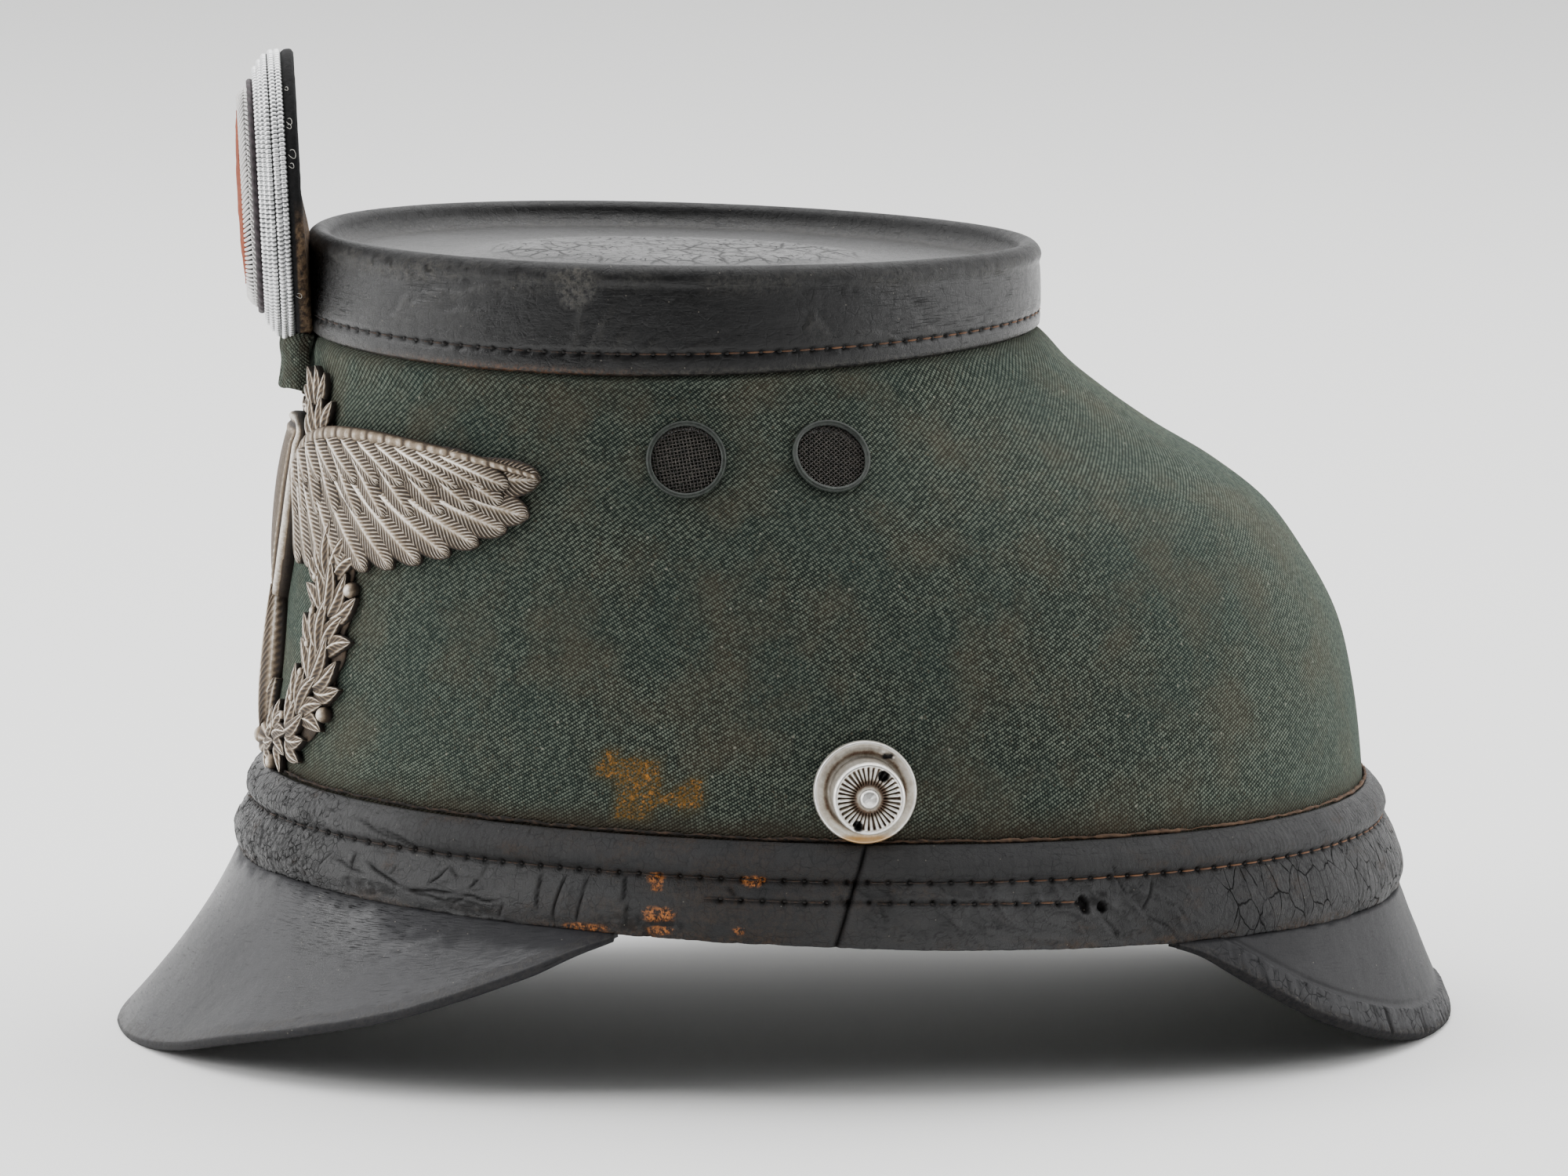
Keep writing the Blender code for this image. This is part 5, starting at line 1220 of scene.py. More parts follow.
badge = {
    # the wing's leading and trailing edges: distance round from the front and height of each
    "wing": ((9, 121, 11, 104.5), (17, 129, 21, 103), (28, 132.6, 33, 103.6), (41, 133.6, 47, 105),
             (54, 133, 61, 108), (68, 131.4, 74, 112.4), (79, 129.4, 84.5, 118.6), (87.5, 127.4, 90, 124.6)),
    # the wreath's path: distance round, height, half width
    "wreath": ((3, 62.4, 3.2), (14, 64, 5), (25.5, 69.6, 7.4), (32.6, 80, 8.6), (35, 95, 8.6), (33.2, 110, 8),
               (27, 124.5, 6.6), (19, 136.5, 4.6), (13.6, 144.6, 1.2)),
    # the shield's outline: height, half width
    "shield": ((132.5, 3), (131, 9.2), (126, 10.6), (116, 10.4), (106, 8.8), (98, 5.8), (92, 1.4)),
    # leaves in the wreath's middle: tip's distance round and height, half width, lift
    "spray": ((4.6, 84.0, 2.4, 2.0), (8.4, 76.0, 2.2, 1.5)),
    "feathers": 12,
    "leafRows": 13,
    "runUp": 0.107,
}


def makeFrontMap():
    # places and outward normals on the cloth's front, over the distance round and the height
    heights = np.linspace(54, 150, 97)
    rows = clothRowAt(heights)
    fine = np.linspace(np.pi - 1.9, np.pi + 1.9, 1201)
    spots = planPoints(rows, fine)
    step = np.linalg.norm(np.diff(spots, axis=1), axis=2)
    run = np.concatenate((np.zeros((len(rows), 1)), np.cumsum(step, axis=1)), 1)
    run = run[:, [600]] - run
    s = np.linspace(-100, 100, 401)
    places = np.array([[np.interp(s, r[::-1], p[::-1, k]) for k in range(3)] for r, p in zip(run, spots)])
    places = places.transpose(0, 2, 1)
    along = unit(np.gradient(places, axis=1))
    out = np.stack([along[..., 1], -along[..., 0], 0 * along[..., 0]], -1)
    out = unit(out * np.sign(-out[:, 200, 1]).mean())
    out[..., 2] = badge["runUp"]
    return heights, s, places, unit(out)


frontMap = makeFrontMap()


def onFront(s, z, lift):
    # between the map's four nearest places: p (1-a)(1-b) + ... , then lifted along the normal
    heights, sides, places, normals = frontMap
    i = np.clip((z - heights[0]) / (heights[1] - heights[0]), 0, len(heights) - 1.001)
    j = np.clip((s - sides[0]) / (sides[1] - sides[0]), 0, len(sides) - 1.001)
    i0, j0 = np.floor(i).astype(int), np.floor(j).astype(int)
    a, b = (i - i0)[..., None], (j - j0)[..., None]

    def mixed(table):
        # a table between its four nearest entries
        return ((table[i0, j0] * (1 - b) + table[i0, j0 + 1] * b) * (1 - a)
                + (table[i0 + 1, j0] * (1 - b) + table[i0 + 1, j0 + 1] * b) * a)
    return mixed(places) + mixed(normals) * np.asarray(lift)[..., None]


def plate(s, z, lift, back, raised, barbs=None):
    # a closed sheet over the front: its face at the lift, and a plain back at a constant lift;
    # barbs gives each point its millimetres along and off the shaft, and how strong barbs are
    s, z = np.broadcast_arrays(s, z)
    few = [-1, s.shape[1] // 2, 0]
    face = onFront(s, z, lift)
    under = onFront(s[:, few], z[:, few], np.full((len(s), 3), float(back)))
    marks = {"raised": np.concatenate([raised + 0 * s, np.zeros((len(s), 3))], axis=1)}
    uv = np.zeros((len(s), s.shape[1] + 4, 2))
    if barbs is not None:
        along, off, strength = np.broadcast_arrays(*barbs, s)[:3]
        uv[:, :s.shape[1]] = np.stack([along, off], -1)
        marks["barbs"] = np.concatenate([strength, np.zeros((len(s), 3))], axis=1)
    return gridPart(np.concatenate([face, under], axis=1), closeColumns=True, uv=uv, marks=marks,
                    capRows=True)


def featherPart(lead, trail, width, base, curl, side, seed):
    # a feather from lead to trail in (s, z): across it q runs -1 to 1, its half width is
    # width * sqrt(1 - ((p - 0.62) / 0.38)^2) past p = 0.62, its lift domed, with a raised shaft
    p = np.linspace(0, 1, 26)[:, None]
    q = np.linspace(-1, 1, 13)[None, :]
    lead, trail = np.array(lead), np.array(trail)
    run = trail - lead
    length = np.hypot(*run)
    ahead = run / length
    square = np.array([-ahead[1], ahead[0]])
    tip = np.sqrt(np.clip(1 - ((p - 0.62) / 0.38).clip(0) ** 2, 0.012, 1))
    shape = np.minimum(ease(p / 0.12) * 0.45 + 0.55, 1) * tip
    bow = curl * np.sin(np.pi * p * 0.5) ** 2
    s = lead[0] + ahead[0] * length * p + square[0] * (width * shape * q + bow)
    z = lead[1] + ahead[1] * length * p + square[1] * (width * shape * q + bow)
    dome = np.sqrt(np.clip(1 - q * q * 0.92, 0, 1)) * np.sqrt(shape.clip(0.02))
    shaft = np.exp(-(q / 0.15) ** 2) * (1 - 0.6 * p)
    lift = base + 1.05 * dome + 0.5 * shaft
    raised = np.clip(0.16 + 0.34 * dome + 0.6 * shaft - 0.5 * (np.abs(q) > 0.9)
                     + 0.2 * ease((p - 0.8) / 0.2), 0, 1)
    strength = ease((np.abs(q) - 0.1) / 0.15) * (np.abs(q) < 0.95) + 0 * p
    return plate(side * s, z, np.maximum(lift, 0.9), 0.75, raised,
                 (p * length + seed, np.abs(q) * width, strength))


def wingParts(side):
    # long feathers fan out under two tiers of short ones and a rolled leading edge
    table = np.array(badge["wing"], float)
    along = np.linspace(0, 1, len(table))

    def leadAt(q):
        # the wing's leading edge at a share of its length
        return throughTable(along, table[:, :2], np.atleast_1d(q)).squeeze()

    def trailAt(q):
        # the wing's trailing edge at a share of its length
        return throughTable(along, table[:, 2:], np.atleast_1d(q)).squeeze()
    parts = []
    n = badge["feathers"]
    for i in range(n):
        q = (i + 0.5) / n
        lead = leadAt(0.02 + 0.62 * q) * 0.72 + trailAt(0.02 + 0.62 * q) * 0.28
        trail = trailAt(0.10 + 0.90 * q) if i < n - 1 else leadAt(0.99)
        parts.append(featherPart(lead, trail, 3.5 + 0.9 * q, 1.05 + 0.045 * (n - i), -0.8, side, i))
    for tier, (reach, count, width, base) in enumerate(((0.62, 10, 3.1, 1.75), (0.36, 11, 2.6, 2.15))):
        for i in range(count):
            q = (i + 0.3 + 0.4 * (tier % 2)) / count
            start = 0.03 + 0.66 * q
            lead = leadAt(start) * 0.92 + trailAt(start) * 0.08
            tip = leadAt(0.08 + 0.80 * q) * (1 - reach) + trailAt(0.08 + 0.80 * q) * reach
            parts.append(featherPart(lead, tip, width, base + 0.03 * (count - i), -0.5, side, 40 + i))
    p = np.linspace(0, 1, 120)
    path = leadAt(0.98 * p)
    down = trailAt(0.98 * p) - path
    down = down / np.linalg.norm(down, axis=-1, keepdims=True)
    q = np.linspace(-1, 1, 11)[None, :]
    width = (2.1 * (1 - 0.65 * p))[:, None]
    s = path[:, :1] + down[:, :1] * width * (q + 0.8)
    z = path[:, 1:] + down[:, 1:] * width * (q + 0.8)
    bead = np.abs(np.sin(p * 34 * np.pi))[:, None]
    lift = 2.1 + 1.25 * np.sqrt(1 - q * q * 0.97) * (0.8 + 0.2 * bead)
    parts.append(plate(side * s, z, lift, 0.75,
                       np.clip(0.2 + 0.6 * np.sqrt(1 - q * q * 0.97) * bead ** 0.5, 0, 1)))
    return parts


def leafPart(base, tip, half, low, side, seed, back=0.55, domed=0.0):
    # a laurel leaf: half width half * sin(pi p^0.8)^0.75, a raised midrib and rim, veins between;
    # domed bends its sides down to the cloth by 1 - sqrt(1 - across^2)
    p = np.linspace(0, 1, 18)[:, None]
    q = np.linspace(-1, 1, 13)[None, :]
    base, tip = np.array(base), np.array(tip)
    run = tip - base
    length = np.hypot(*run)
    square = np.array([-run[1], run[0]]) / length
    shape = np.sin(np.pi * np.clip(p, 0.015, 0.985) ** 0.8) ** 0.75
    curve = 0.10 * length * np.sin(np.pi * p) * (1 if seed % 2 else -1)
    s = base[0] + run[0] * p + square[0] * (half * shape * q + curve)
    z = base[1] + run[1] * p + square[1] * (half * shape * q + curve)
    keel = np.exp(-(q / 0.15) ** 2)
    rim = np.exp(-((np.abs(q) - 0.80) / 0.13) ** 2)
    lift = low + (0.8 * (1 - np.abs(q) ** 2.4) + 0.4 * keel + 0.3 * rim) * shape + 0.6 * p
    lift = lift - domed * (1 - np.sqrt(1 - 0.98 * q * q))
    raised = np.clip(0.14 + 0.75 * keel + 0.55 * rim + 0.25 * p - 0.5 * (np.abs(q) > 0.95), 0, 1)
    strength = 0.55 * (1 - keel) * (1 - rim) + 0 * p
    return plate(side * s, z, lift, back, raised, (p * length * 0.7, np.abs(q) * half, strength))


def berryPart(s, z, radius, low):
    # half a ball on the front: rings at radius * sin(a), lifted radius * cos(a)
    a = np.linspace(0.06, np.pi / 2, 7)[:, None]
    turn = np.linspace(0, 2 * np.pi, 13)[None, :-1]
    rings = onFront(s + radius * np.sin(a) * np.cos(turn), z + radius * np.sin(a) * np.sin(turn),
                    low + radius * np.cos(a) + 0 * turn)
    foot = onFront(s + radius * np.cos(turn), z + radius * np.sin(turn), np.full(turn.shape, 0.55))
    points = np.concatenate([rings, foot])
    raised = np.concatenate([0.2 + 0.7 * np.cos(a) + 0 * turn, 0 * turn])
    return gridPart(points, closeColumns=True, marks={"raised": raised}, capRows=True)


def wreathParts(side):
    # a dull sheet along the path, leaves in fives over it, and berries at the outer edge
    table = np.array(badge["wreath"], float)
    steps = runAlong(table[:, :2])
    p = np.linspace(0, 1, 110)
    ground = throughTable(steps, table, p * steps[-1] * 0.97)
    ahead = unit(np.gradient(ground[:, :2], axis=0))
    q = np.linspace(-1, 1, 9)[None, :]
    teeth = np.abs(np.sin(p * badge["leafRows"] * np.pi))[:, None]
    half = ground[:, 2:] * (0.74 + 0.2 * teeth) * q
    s, z = ground[:, :1] - ahead[:, 1:] * half, ground[:, 1:2] + ahead[:, :1] * half
    grain = 0.25 * clouds(s / 0.9, z / 0.9, 87)
    parts = [plate(side * s, z, 0.85 + 0.2 * (1 - q * q) + 0.4 * grain, 0.3, 0.26 + grain)]
    for k, place in enumerate(np.linspace(0.03, 0.90, badge["leafRows"]) * steps[-1]):
        spot = throughTable(steps, table, np.array([place]))[0]
        ahead = throughTable(steps, table, np.array([min(place + 1, steps[-1])]))[0] - spot
        if 101 < spot[1] < 124:
            continue      # the wing lies over it there
        ahead = ahead[:2] / np.hypot(*ahead[:2])
        square = np.array([-ahead[1], ahead[0]])
        reach = min(12.0, 5.0 + 0.8 * spot[2])
        away = 1.0 if place + reach < steps[-1] else 0.7
        for lean, share, low in ((-0.95, 0.86, 1.2), (0.95, 0.86, 1.2), (-0.5, 1.0, 1.45), (0.5, 1.0, 1.5),
                                 (0.0, 1.12, 1.85)):
            way = ahead * share * np.cos(lean) + square * np.sin(lean) * 0.92
            base = spot[:2] + square * np.sin(lean) * 1.4
            parts.append(leafPart(base, base + way * reach * away, 0.16 * reach + 0.35, low, side, k))
        if spot[2] > 4:
            seed = spot[:2] + ahead * 1.0 + square * spot[2] * 0.5
            parts.append(berryPart(side * seed[0], seed[1], 0.95, 2.2))
        if k % 3 == 1 and spot[2] > 4:
            seed = spot[:2] - ahead * 1.5 - square * spot[2] * 0.98
            parts.append(berryPart(side * seed[0], seed[1], 1.75, 1.5))
    return parts


def shieldParts():
    # a plain domed shield with a rolled border and a beaded line just inside it: its lift is
    # 4 * sqrt(1 - across^2) * sin(pi * share of its height)^0.4, so it meets the cloth all round
    table = np.array(badge["shield"], float)[::-1]
    p = np.linspace(0, 1, 80)
    spots = throughTable(table[:, 0], table, table[0, 0] + (table[-1, 0] - table[0, 0]) * p)
    z = spots[:, :1] + 0 * p[:1]
    half = np.maximum(spots[:, 1:], 0.6)
    half = half * np.sqrt(np.clip(1 - ((p - 0.965) / 0.035).clip(0) ** 2 * 0.8, 0.1, 1))[:, None]
    q = np.sin(np.linspace(-1, 1, 55) * np.pi / 2)[None, :]
    s = half * q
    middle = 113.0
    fromEdge = half * (1 - np.abs(q))
    fromEdge = np.minimum(fromEdge, np.minimum(z - table[0, 0], table[-1, 0] - z + 0 * q) + 0.1)
    border = np.exp(-((fromEdge - 0.9) / 0.75) ** 2)
    groove = np.exp(-((fromEdge - 2.3) / 0.5) ** 2)
    beads = 0.35 + 0.65 * np.abs(np.sin(np.hypot(s, z - middle) * 2.4))
    bead = np.exp(-((fromEdge - 3.4) / 0.55) ** 2) * beads
    dome = np.sqrt(1 - 0.96 * q * q) * np.sin(np.pi * (0.02 + 0.96 * p[:, None])) ** 0.4
    lift = 1.0 + 4.0 * dome + (0.8 * border - 0.35 * groove + 0.35 * bead) * ease(fromEdge / 0.7 + 0.45)
    raised = np.clip(0.42 + 0.5 * border - 0.6 * groove + 0.4 * bead - 0.4 * (fromEdge < 0.2), 0, 1)
    return [plate(s, z, lift, -0.2, raised)]


def knotParts():
    # the ribbon that ties the wreath, a bow of two loops and a centre, and over it a spray of
    # leaves that stands in the wreath's middle
    parts = []
    for side in (1, -1):
        p = np.linspace(0, 1, 30)[:, None]
        q = np.linspace(-1, 1, 13)[None, :]
        half = 0.8 + 2.5 * np.sin(np.pi * p ** 0.8) ** 0.8
        s = 0.8 + 7.0 * p + 0 * q
        z = 62.2 + half * q + 0.4 * p
        fold = np.cos(q * 7.5) * 0.25
        lift = 2.2 + 1.4 * np.sqrt(1 - 0.95 * q * q) * np.sin(np.pi * (0.1 + 0.85 * p)) + fold * 0.6
        parts.append(plate(side * s, z, lift, 0.65, np.clip(0.45 + fold * 1.4 + 0 * p, 0, 1)))
        for tipS, tipZ, half, low in badge["spray"]:
            parts.append(leafPart((0.6, 63.0), (tipS, tipZ), half, low, side, 1, 0.0, low - 0.4))
    parts.append(leafPart((0.0, 64.0), (0.0, 95.0), 3.6, 3.2, 1, 0, -0.2, 3.2))
    parts.append(berryPart(0.0, 62.2, 2.0, 2.4))
    return parts


print("badge")
makePiece("badgeWings", wingParts(1) + wingParts(-1), badgeMetal, ("front_badge",),
          weld=True)
makePiece("badgeWreath", wreathParts(1) + wreathParts(-1) + knotParts(), badgeMetal,
          weld=True)
makePiece("badgeShield", shieldParts(), badgeMetal, weld=True)


cockade = {
    "y": -103.4, "z": 179.4, "lean": 0.04363, "narrower": 8.0,
    "board": ((30.2, 0.0), (31.0, 0.6), (31.0, 1.9), (30.4, 2.7), (29.7, 3.3)),
    # the bullion's rows lie along this curve: half height, depth
    "bullionCurve": ((30.45, 3.55), (30.3, 5.05), (29.35, 6.5), (27.9, 7.65), (26.4, 8.45), (25.75, 7.2)),
    "bullionPlaces": (0.0, 0.16, 0.365, 0.55, 0.74, 0.93), "bullionRadius": 0.80, "beadPitch": 0.98,
    "ring": (24.35, 9.6, 0.78),
    "braidGround": ((23.2, 2.8), (23.2, 9.2), (22.9, 10.3), (21.9, 11.3), (20.5, 12.0), (19.1, 12.0),
                    (19.1, 2.8)),
    "braidStrokes": 104, "braidMiddle": 21.4,
    "strip": ((23.3, 9.4), (23.3, 10.5), (22.2, 11.6), (20.6, 12.4), (19.0, 12.3)),
    "felt": ((18.7, 10.7, 2.8), (18.7, 10.7, 11.8), (17.6, 9.9, 12.6), (12.5, 7.0, 13.2), (5.0, 2.8, 13.4)),
    # threads that have worked loose: turn, length, width
    "looseThreads": ((0.98, 1.2, 0.7), (1.02, 1.0, 0.5), (1.22, 1.6, 0.9), (1.30, 1.1, 0.5), (0.70, 0.8, 0.5),
                     (2.25, 1.3, 0.6)),
    "prong": {"y": -103.3, "z": 144.3, "halfWidth": 3.0, "halfDepth": 0.7},
    "loop": {"foot": 138.4, "top": 149.6, "halfWidth": 9.5, "lift": 0.9, "bow": 5.5, "wall": 1.3},
}
silverWire = makeThread("silverBullionWire", "#222225", "#fafbfc", 0.30, 0.7)
dullWire = makeThread("silverBraid", "#3a3638", "#d6d4d2", 0.42, 0.45)
darkCord = makeThread("darkSilkCord", "#0b0809", "#352a2f", 0.6)
stripGround = makeThread("blackBraidGround", "#080708", "#161415", 0.9)
hairThread = makeThread("looseWhiteThread", "#6e6d69", "#b9b7b0", 0.7)


def makeFelt(name, dark, light, soiled):
    # pressed wool felt: soft mottling, no shine, a slight nap against the light
    material, tree, shader = newMaterial(name)
    solid = mmPlaces(tree)
    mottle = addNode(tree, "TexNoise", {"Vector": solid, "Scale": 0.8, "Detail": 5.0, "Roughness": 0.7})
    colour = addNode(tree, "ValToRGB", {0: mottle}, stops=((0.3, dark), (0.62, light)))
    soil = addNode(tree, "Math", {0: speckle(tree, solid, 7.0), 1: 0.2}, operation="MULTIPLY")
    colour = addNode(tree, "MixRGB", {0: soil, 1: colour, 2: soiled})
    tree.links.new(colour, shader["Base Color"])
    shader["Roughness"].default_value = 0.95
    shader["Specular IOR Level"].default_value = 0.1
    shader["Sheen Weight"].default_value = 0.06
    fibres = addNode(tree, "TexNoise", {"Vector": solid, "Scale": 4.5, "Detail": 4.0, "Roughness": 0.8})
    bump = addNode(tree, "Bump", {"Height": fibres, "Strength": 0.7, "Distance": 0.0002})
    tree.links.new(bump, shader["Normal"])
    return material


orangeFelt = makeFelt("fadedOrangeFelt", "#7d3b29", "#9b5239", "#6e4535")


def makeBoardCover(name):
    # a board covered with black cloth, rubbed through at the foot to brown card
    material, tree, shader = newMaterial(name)
    solid = mmPlaces(tree)
    mottle = addNode(tree, "TexNoise", {"Vector": solid, "Scale": 0.7, "Detail": 5.0, "Roughness": 0.75})
    colour = addNode(tree, "ValToRGB", {0: mottle}, stops=((0.35, "#0a0a0b"), (0.7, "#1e1e1f")))
    worn = addNode(tree, "Attribute", attribute_name="worn", out=2)
    card = addNode(tree, "ValToRGB", {0: mottle}, stops=((0.35, "#2c2018"), (0.6, "#6f5a44")))
    broken = speckle(tree, solid, 1.6, 5.0, 0.7, ((0.35, 0.0), (0.55, 1.0)))
    rubbed = addNode(tree, "Math", {0: worn, 1: broken}, operation="MULTIPLY")
    colour = addNode(tree, "MixRGB", {0: rubbed, 1: colour, 2: card})
    tree.links.new(colour, shader["Base Color"])
    shader["Roughness"].default_value = 0.8
    shader["Specular IOR Level"].default_value = 0.2
    bump = addNode(tree, "Bump", {"Height": mottle, "Strength": 0.8, "Distance": 0.0005})
    tree.links.new(bump, shader["Normal"])
    return material


boardCover = makeBoardCover("blackBoardCover")


def cockadePoint(turn, halfHeight, depth, halfWidth=None):
    # an oval's point: across = half width * sin(turn), up = half height * cos(turn), tilted
    # back by the lean, with the depth measured square to it towards the front
    turn, halfHeight, depth = np.broadcast_arrays(turn, halfHeight, depth)
    halfWidth = halfHeight - cockade["narrower"] if halfWidth is None else halfWidth
    lean = cockade["lean"]
    up = halfHeight * np.cos(turn)
    x = halfWidth * np.sin(turn)
    y = cockade["y"] - up * np.sin(lean) - depth * np.cos(lean)
    z = cockade["z"] + up * np.cos(lean) - depth * np.sin(lean)
    return np.stack([x, y, z], -1)


def ovalTurns(halfHeight, count):
    # turns that split an oval into equal lengths
    fine = np.linspace(0, 2 * np.pi, 2001)
    spots = cockadePoint(fine, halfHeight, 0.0)
    run = runAlong(spots)
    return np.interp(np.linspace(0, run[-1], count, endpoint=False), run, fine), run[-1]


depthWay = np.array([0, -np.cos(cockade["lean"]), -np.sin(cockade["lean"])])


def ringTube(halfHeight, depth, count, sides, shape):
    # a tube round the oval; shape(round, along) gives its radius and its mark
    turn, length = ovalTurns(halfHeight, count)
    path = cockadePoint(turn, halfHeight, depth)
    ahead = unit(np.roll(path, -1, 0) - np.roll(path, 1, 0))
    side = np.cross(ahead, depthWay)
    around = np.linspace(0, 2 * np.pi, sides, endpoint=False)
    along = np.arange(count) * length / count
    radius, raised = shape(around[None, :], along[:, None], length)
    ring = np.cos(around)[None, :, None] * side[:, None] + np.sin(around)[None, :, None] * depthWay
    points = path[:, None] + ring * radius[..., None]
    return gridPart(points, True, True, marks={"raised": raised})


def beaded(around, along, length):
    # wound wire: radius r * (0.76 + 0.26 |sin|), a wind every bead pitch
    winds = round(length / cockade["beadPitch"])
    wave = np.abs(np.sin(np.pi * winds * along / length)) + 0 * around
    grime = noise(along / 3.0 + 40, 0 * around, 17) * 0.12
    # the mark paints shade into the gaps between the winds and a highlight on their tops, with a little grime
    return cockade["bullionRadius"] * (0.76 + 0.26 * wave), np.clip(0.02 + 0.85 * wave + grime, 0, 1)


def twisted(around, along, length):
    # two strands laid up: radius r * (0.80 + 0.26 |cos(around - twist)|)
    laps = round(length / 2.4)
    wave = np.abs(np.cos(around - np.pi * laps * along / length))
    # the mark paints a highlight along each strand's crest and shade between the strands
    return cockade["ring"][2] * (0.80 + 0.26 * wave), 0.1 + 0.8 * wave ** 2


print("cockade")
curve = np.array(cockade["bullionCurve"])
steps = runAlong(curve)
rowPlaces = throughTable(steps, curve, np.array(cockade["bullionPlaces"]) * steps[-1])
bullion = []
for halfHeight, depth in rowPlaces:
    winds = round(ovalTurns(halfHeight, 4)[1] / cockade["beadPitch"])
    bullion.append(ringTube(halfHeight, depth, 5 * winds, 7, beaded))
makePiece("bullionRows", bullion, silverWire, ("cockade_outer_cord",))
gapPlace = throughTable(steps, curve, np.array([0.262 * steps[-1]]))[0]
makePiece("bullionGap", [ringTube(gapPlace[0] - 0.5, gapPlace[1] - 0.1, 280, 6, twisted)], stripGround)
makePiece("bullionRing", [ringTube(*cockade["ring"][:2], 560, 10, twisted)], darkCord,
          ("cockade_dark_ring",))


def makeStrip():
    # the braid: pale strokes laid slantwise both ways over a black ground, as a herringbone
    around = np.linspace(0, 2 * np.pi, 120, endpoint=False)
    ground = np.array(cockade["braidGround"])
    ground = gridPart(cockadePoint(around, ground[:, :1], ground[:, 1:]), True, True, marks={"raised": 0.2})
    makePiece("braidGround", [ground], stripGround, ("cockade_inner_cord",))
    table = np.array(cockade["strip"])
    run = runAlong(table)
    count = cockade["braidStrokes"]
    turn, _ = ovalTurns(cockade["braidMiddle"], count)
    strokes = []
    for first, last, slant in ((0.2, 1.5, -0.024), (1.3, 4.4, 0.036)):
        q = np.linspace(0, 1, 7)
        across = throughTable(run, table, first + (last - first) * q)
        place = cockadePoint(turn[:, None] + slant * (q - 0.5)[None, :] * 3.0, across[:, 0],
                             across[:, 1] + 0.12)
        ahead = unit(np.gradient(place, axis=1))
        side = unit(np.cross(ahead, np.broadcast_to(depthWay, ahead.shape)))
        out = np.cross(side, ahead)
        size = 0.37 * np.sqrt(1 - (2 * q * 0.97 - 0.97) ** 4)
        size = np.broadcast_to(size, place.shape[:2])
        lit = 0.55 + 0.4 * hashed(np.arange(count), first, 3)[:, None, None]
        strokes.append(manyParts(tubePoints(place, side, out, size, 6), {"raised": lit}, closeColumns=True))
    makePiece("braidStrokes", strokes, dullWire)


makeStrip()


def makeFeltCentre():
    # an oval turned from its rows, with soft lumps on its face
    turn = np.linspace(0, 2 * np.pi, 128, endpoint=False)
    rows = np.array(cockade["felt"])
    q = np.concatenate(([0], np.linspace(1, len(rows) - 1, 20)))
    table = throughTable(np.arange(len(rows)), rows, q)
    points = cockadePoint(turn, table[:, :1], table[:, 2:], table[:, 1:2])
    lumps = clouds(points[..., 0] / 4.0, points[..., 2] / 4.0, 81) * 0.25
    lumps[:2] = 0
    points = points + depthWay * lumps[..., None]
    makePiece("feltCentre", [gridPart(points, closeColumns=True, capRows=True)], orangeFelt,
              ("cockade_center",), weld=True)


makeFeltCentre()


def makeBoard():
    # the board is thicker and rubbed at its lower back, where it rests against the crown
    turn = np.linspace(0, 2 * np.pi, 160, endpoint=False)
    table = np.array(cockade["board"])
    q = np.linspace(0, len(table) - 1, 13)
    rows = throughTable(np.arange(len(table)), table, q)
    scale = np.linspace(0.02, 1, 26)[:-1]
    backRows = np.stack([rows[0, 0] * scale, np.full(25, rows[0, 1])], -1)
    rows = np.concatenate([backRows, rows])
    halfWidth = np.maximum(rows[:, :1] - cockade["narrower"] * np.minimum(rows[:, :1] / 30, 1), 0.3)
    points = cockadePoint(turn, rows[:, :1], rows[:, 1:], halfWidth)
    up = (points[..., 2] - cockade["z"]) / 31
    low = ease((0.05 - up) / 0.35) * ease((up + 1.02) / 0.05)
    back = (rows[:, 1:] < 0.7) + 0 * turn
    middle = np.exp(-(points[..., 0] / 15) ** 2)
    points = points - depthWay * (1.4 * low * back * middle
                                  + 0.15 * clouds(turn * 9, rows[:, 1:], 83))[..., None]
    worn = np.clip(low * 1.3 * (rows[:, 1:] < 1.6), 0, 1)
    makePiece("cockadeBoard", [gridPart(points, closeColumns=True, capRows=True, marks={"worn": worn})],
              boardCover, ("cockade_board",), weld=True)


makeBoard()


def makeLooseLoops():
    # white hair-fine threads that have worked loose over the board's edge
    paths = []
    for turn, long, wide in cockade["looseThreads"]:
        t = np.linspace(0, 1, 14)
        across = turn + (np.sin(2 * np.pi * t * 0.85) * wide) / 28
        depth = 2.6 - long * np.sin(np.pi * t * 0.92) - 0.2
        paths.append(cockadePoint(across, 31.25 + 0.15 * np.sin(np.pi * t), depth))
    path = np.array(paths)
    ahead = unit(np.gradient(path, axis=1))
    side = unit(np.cross(ahead, np.broadcast_to((0.3, 0.2, 1.0), ahead.shape)))
    radius = np.full(path.shape[:2], 0.06) * np.r_[0.2, np.ones(12), 0.2]
    points = tubePoints(path, side, np.cross(side, ahead), radius, 5)
    makePiece("looseLoops", [manyParts(points, {"raised": 0.7}, closeColumns=True)], hairThread)


makeLooseLoops()


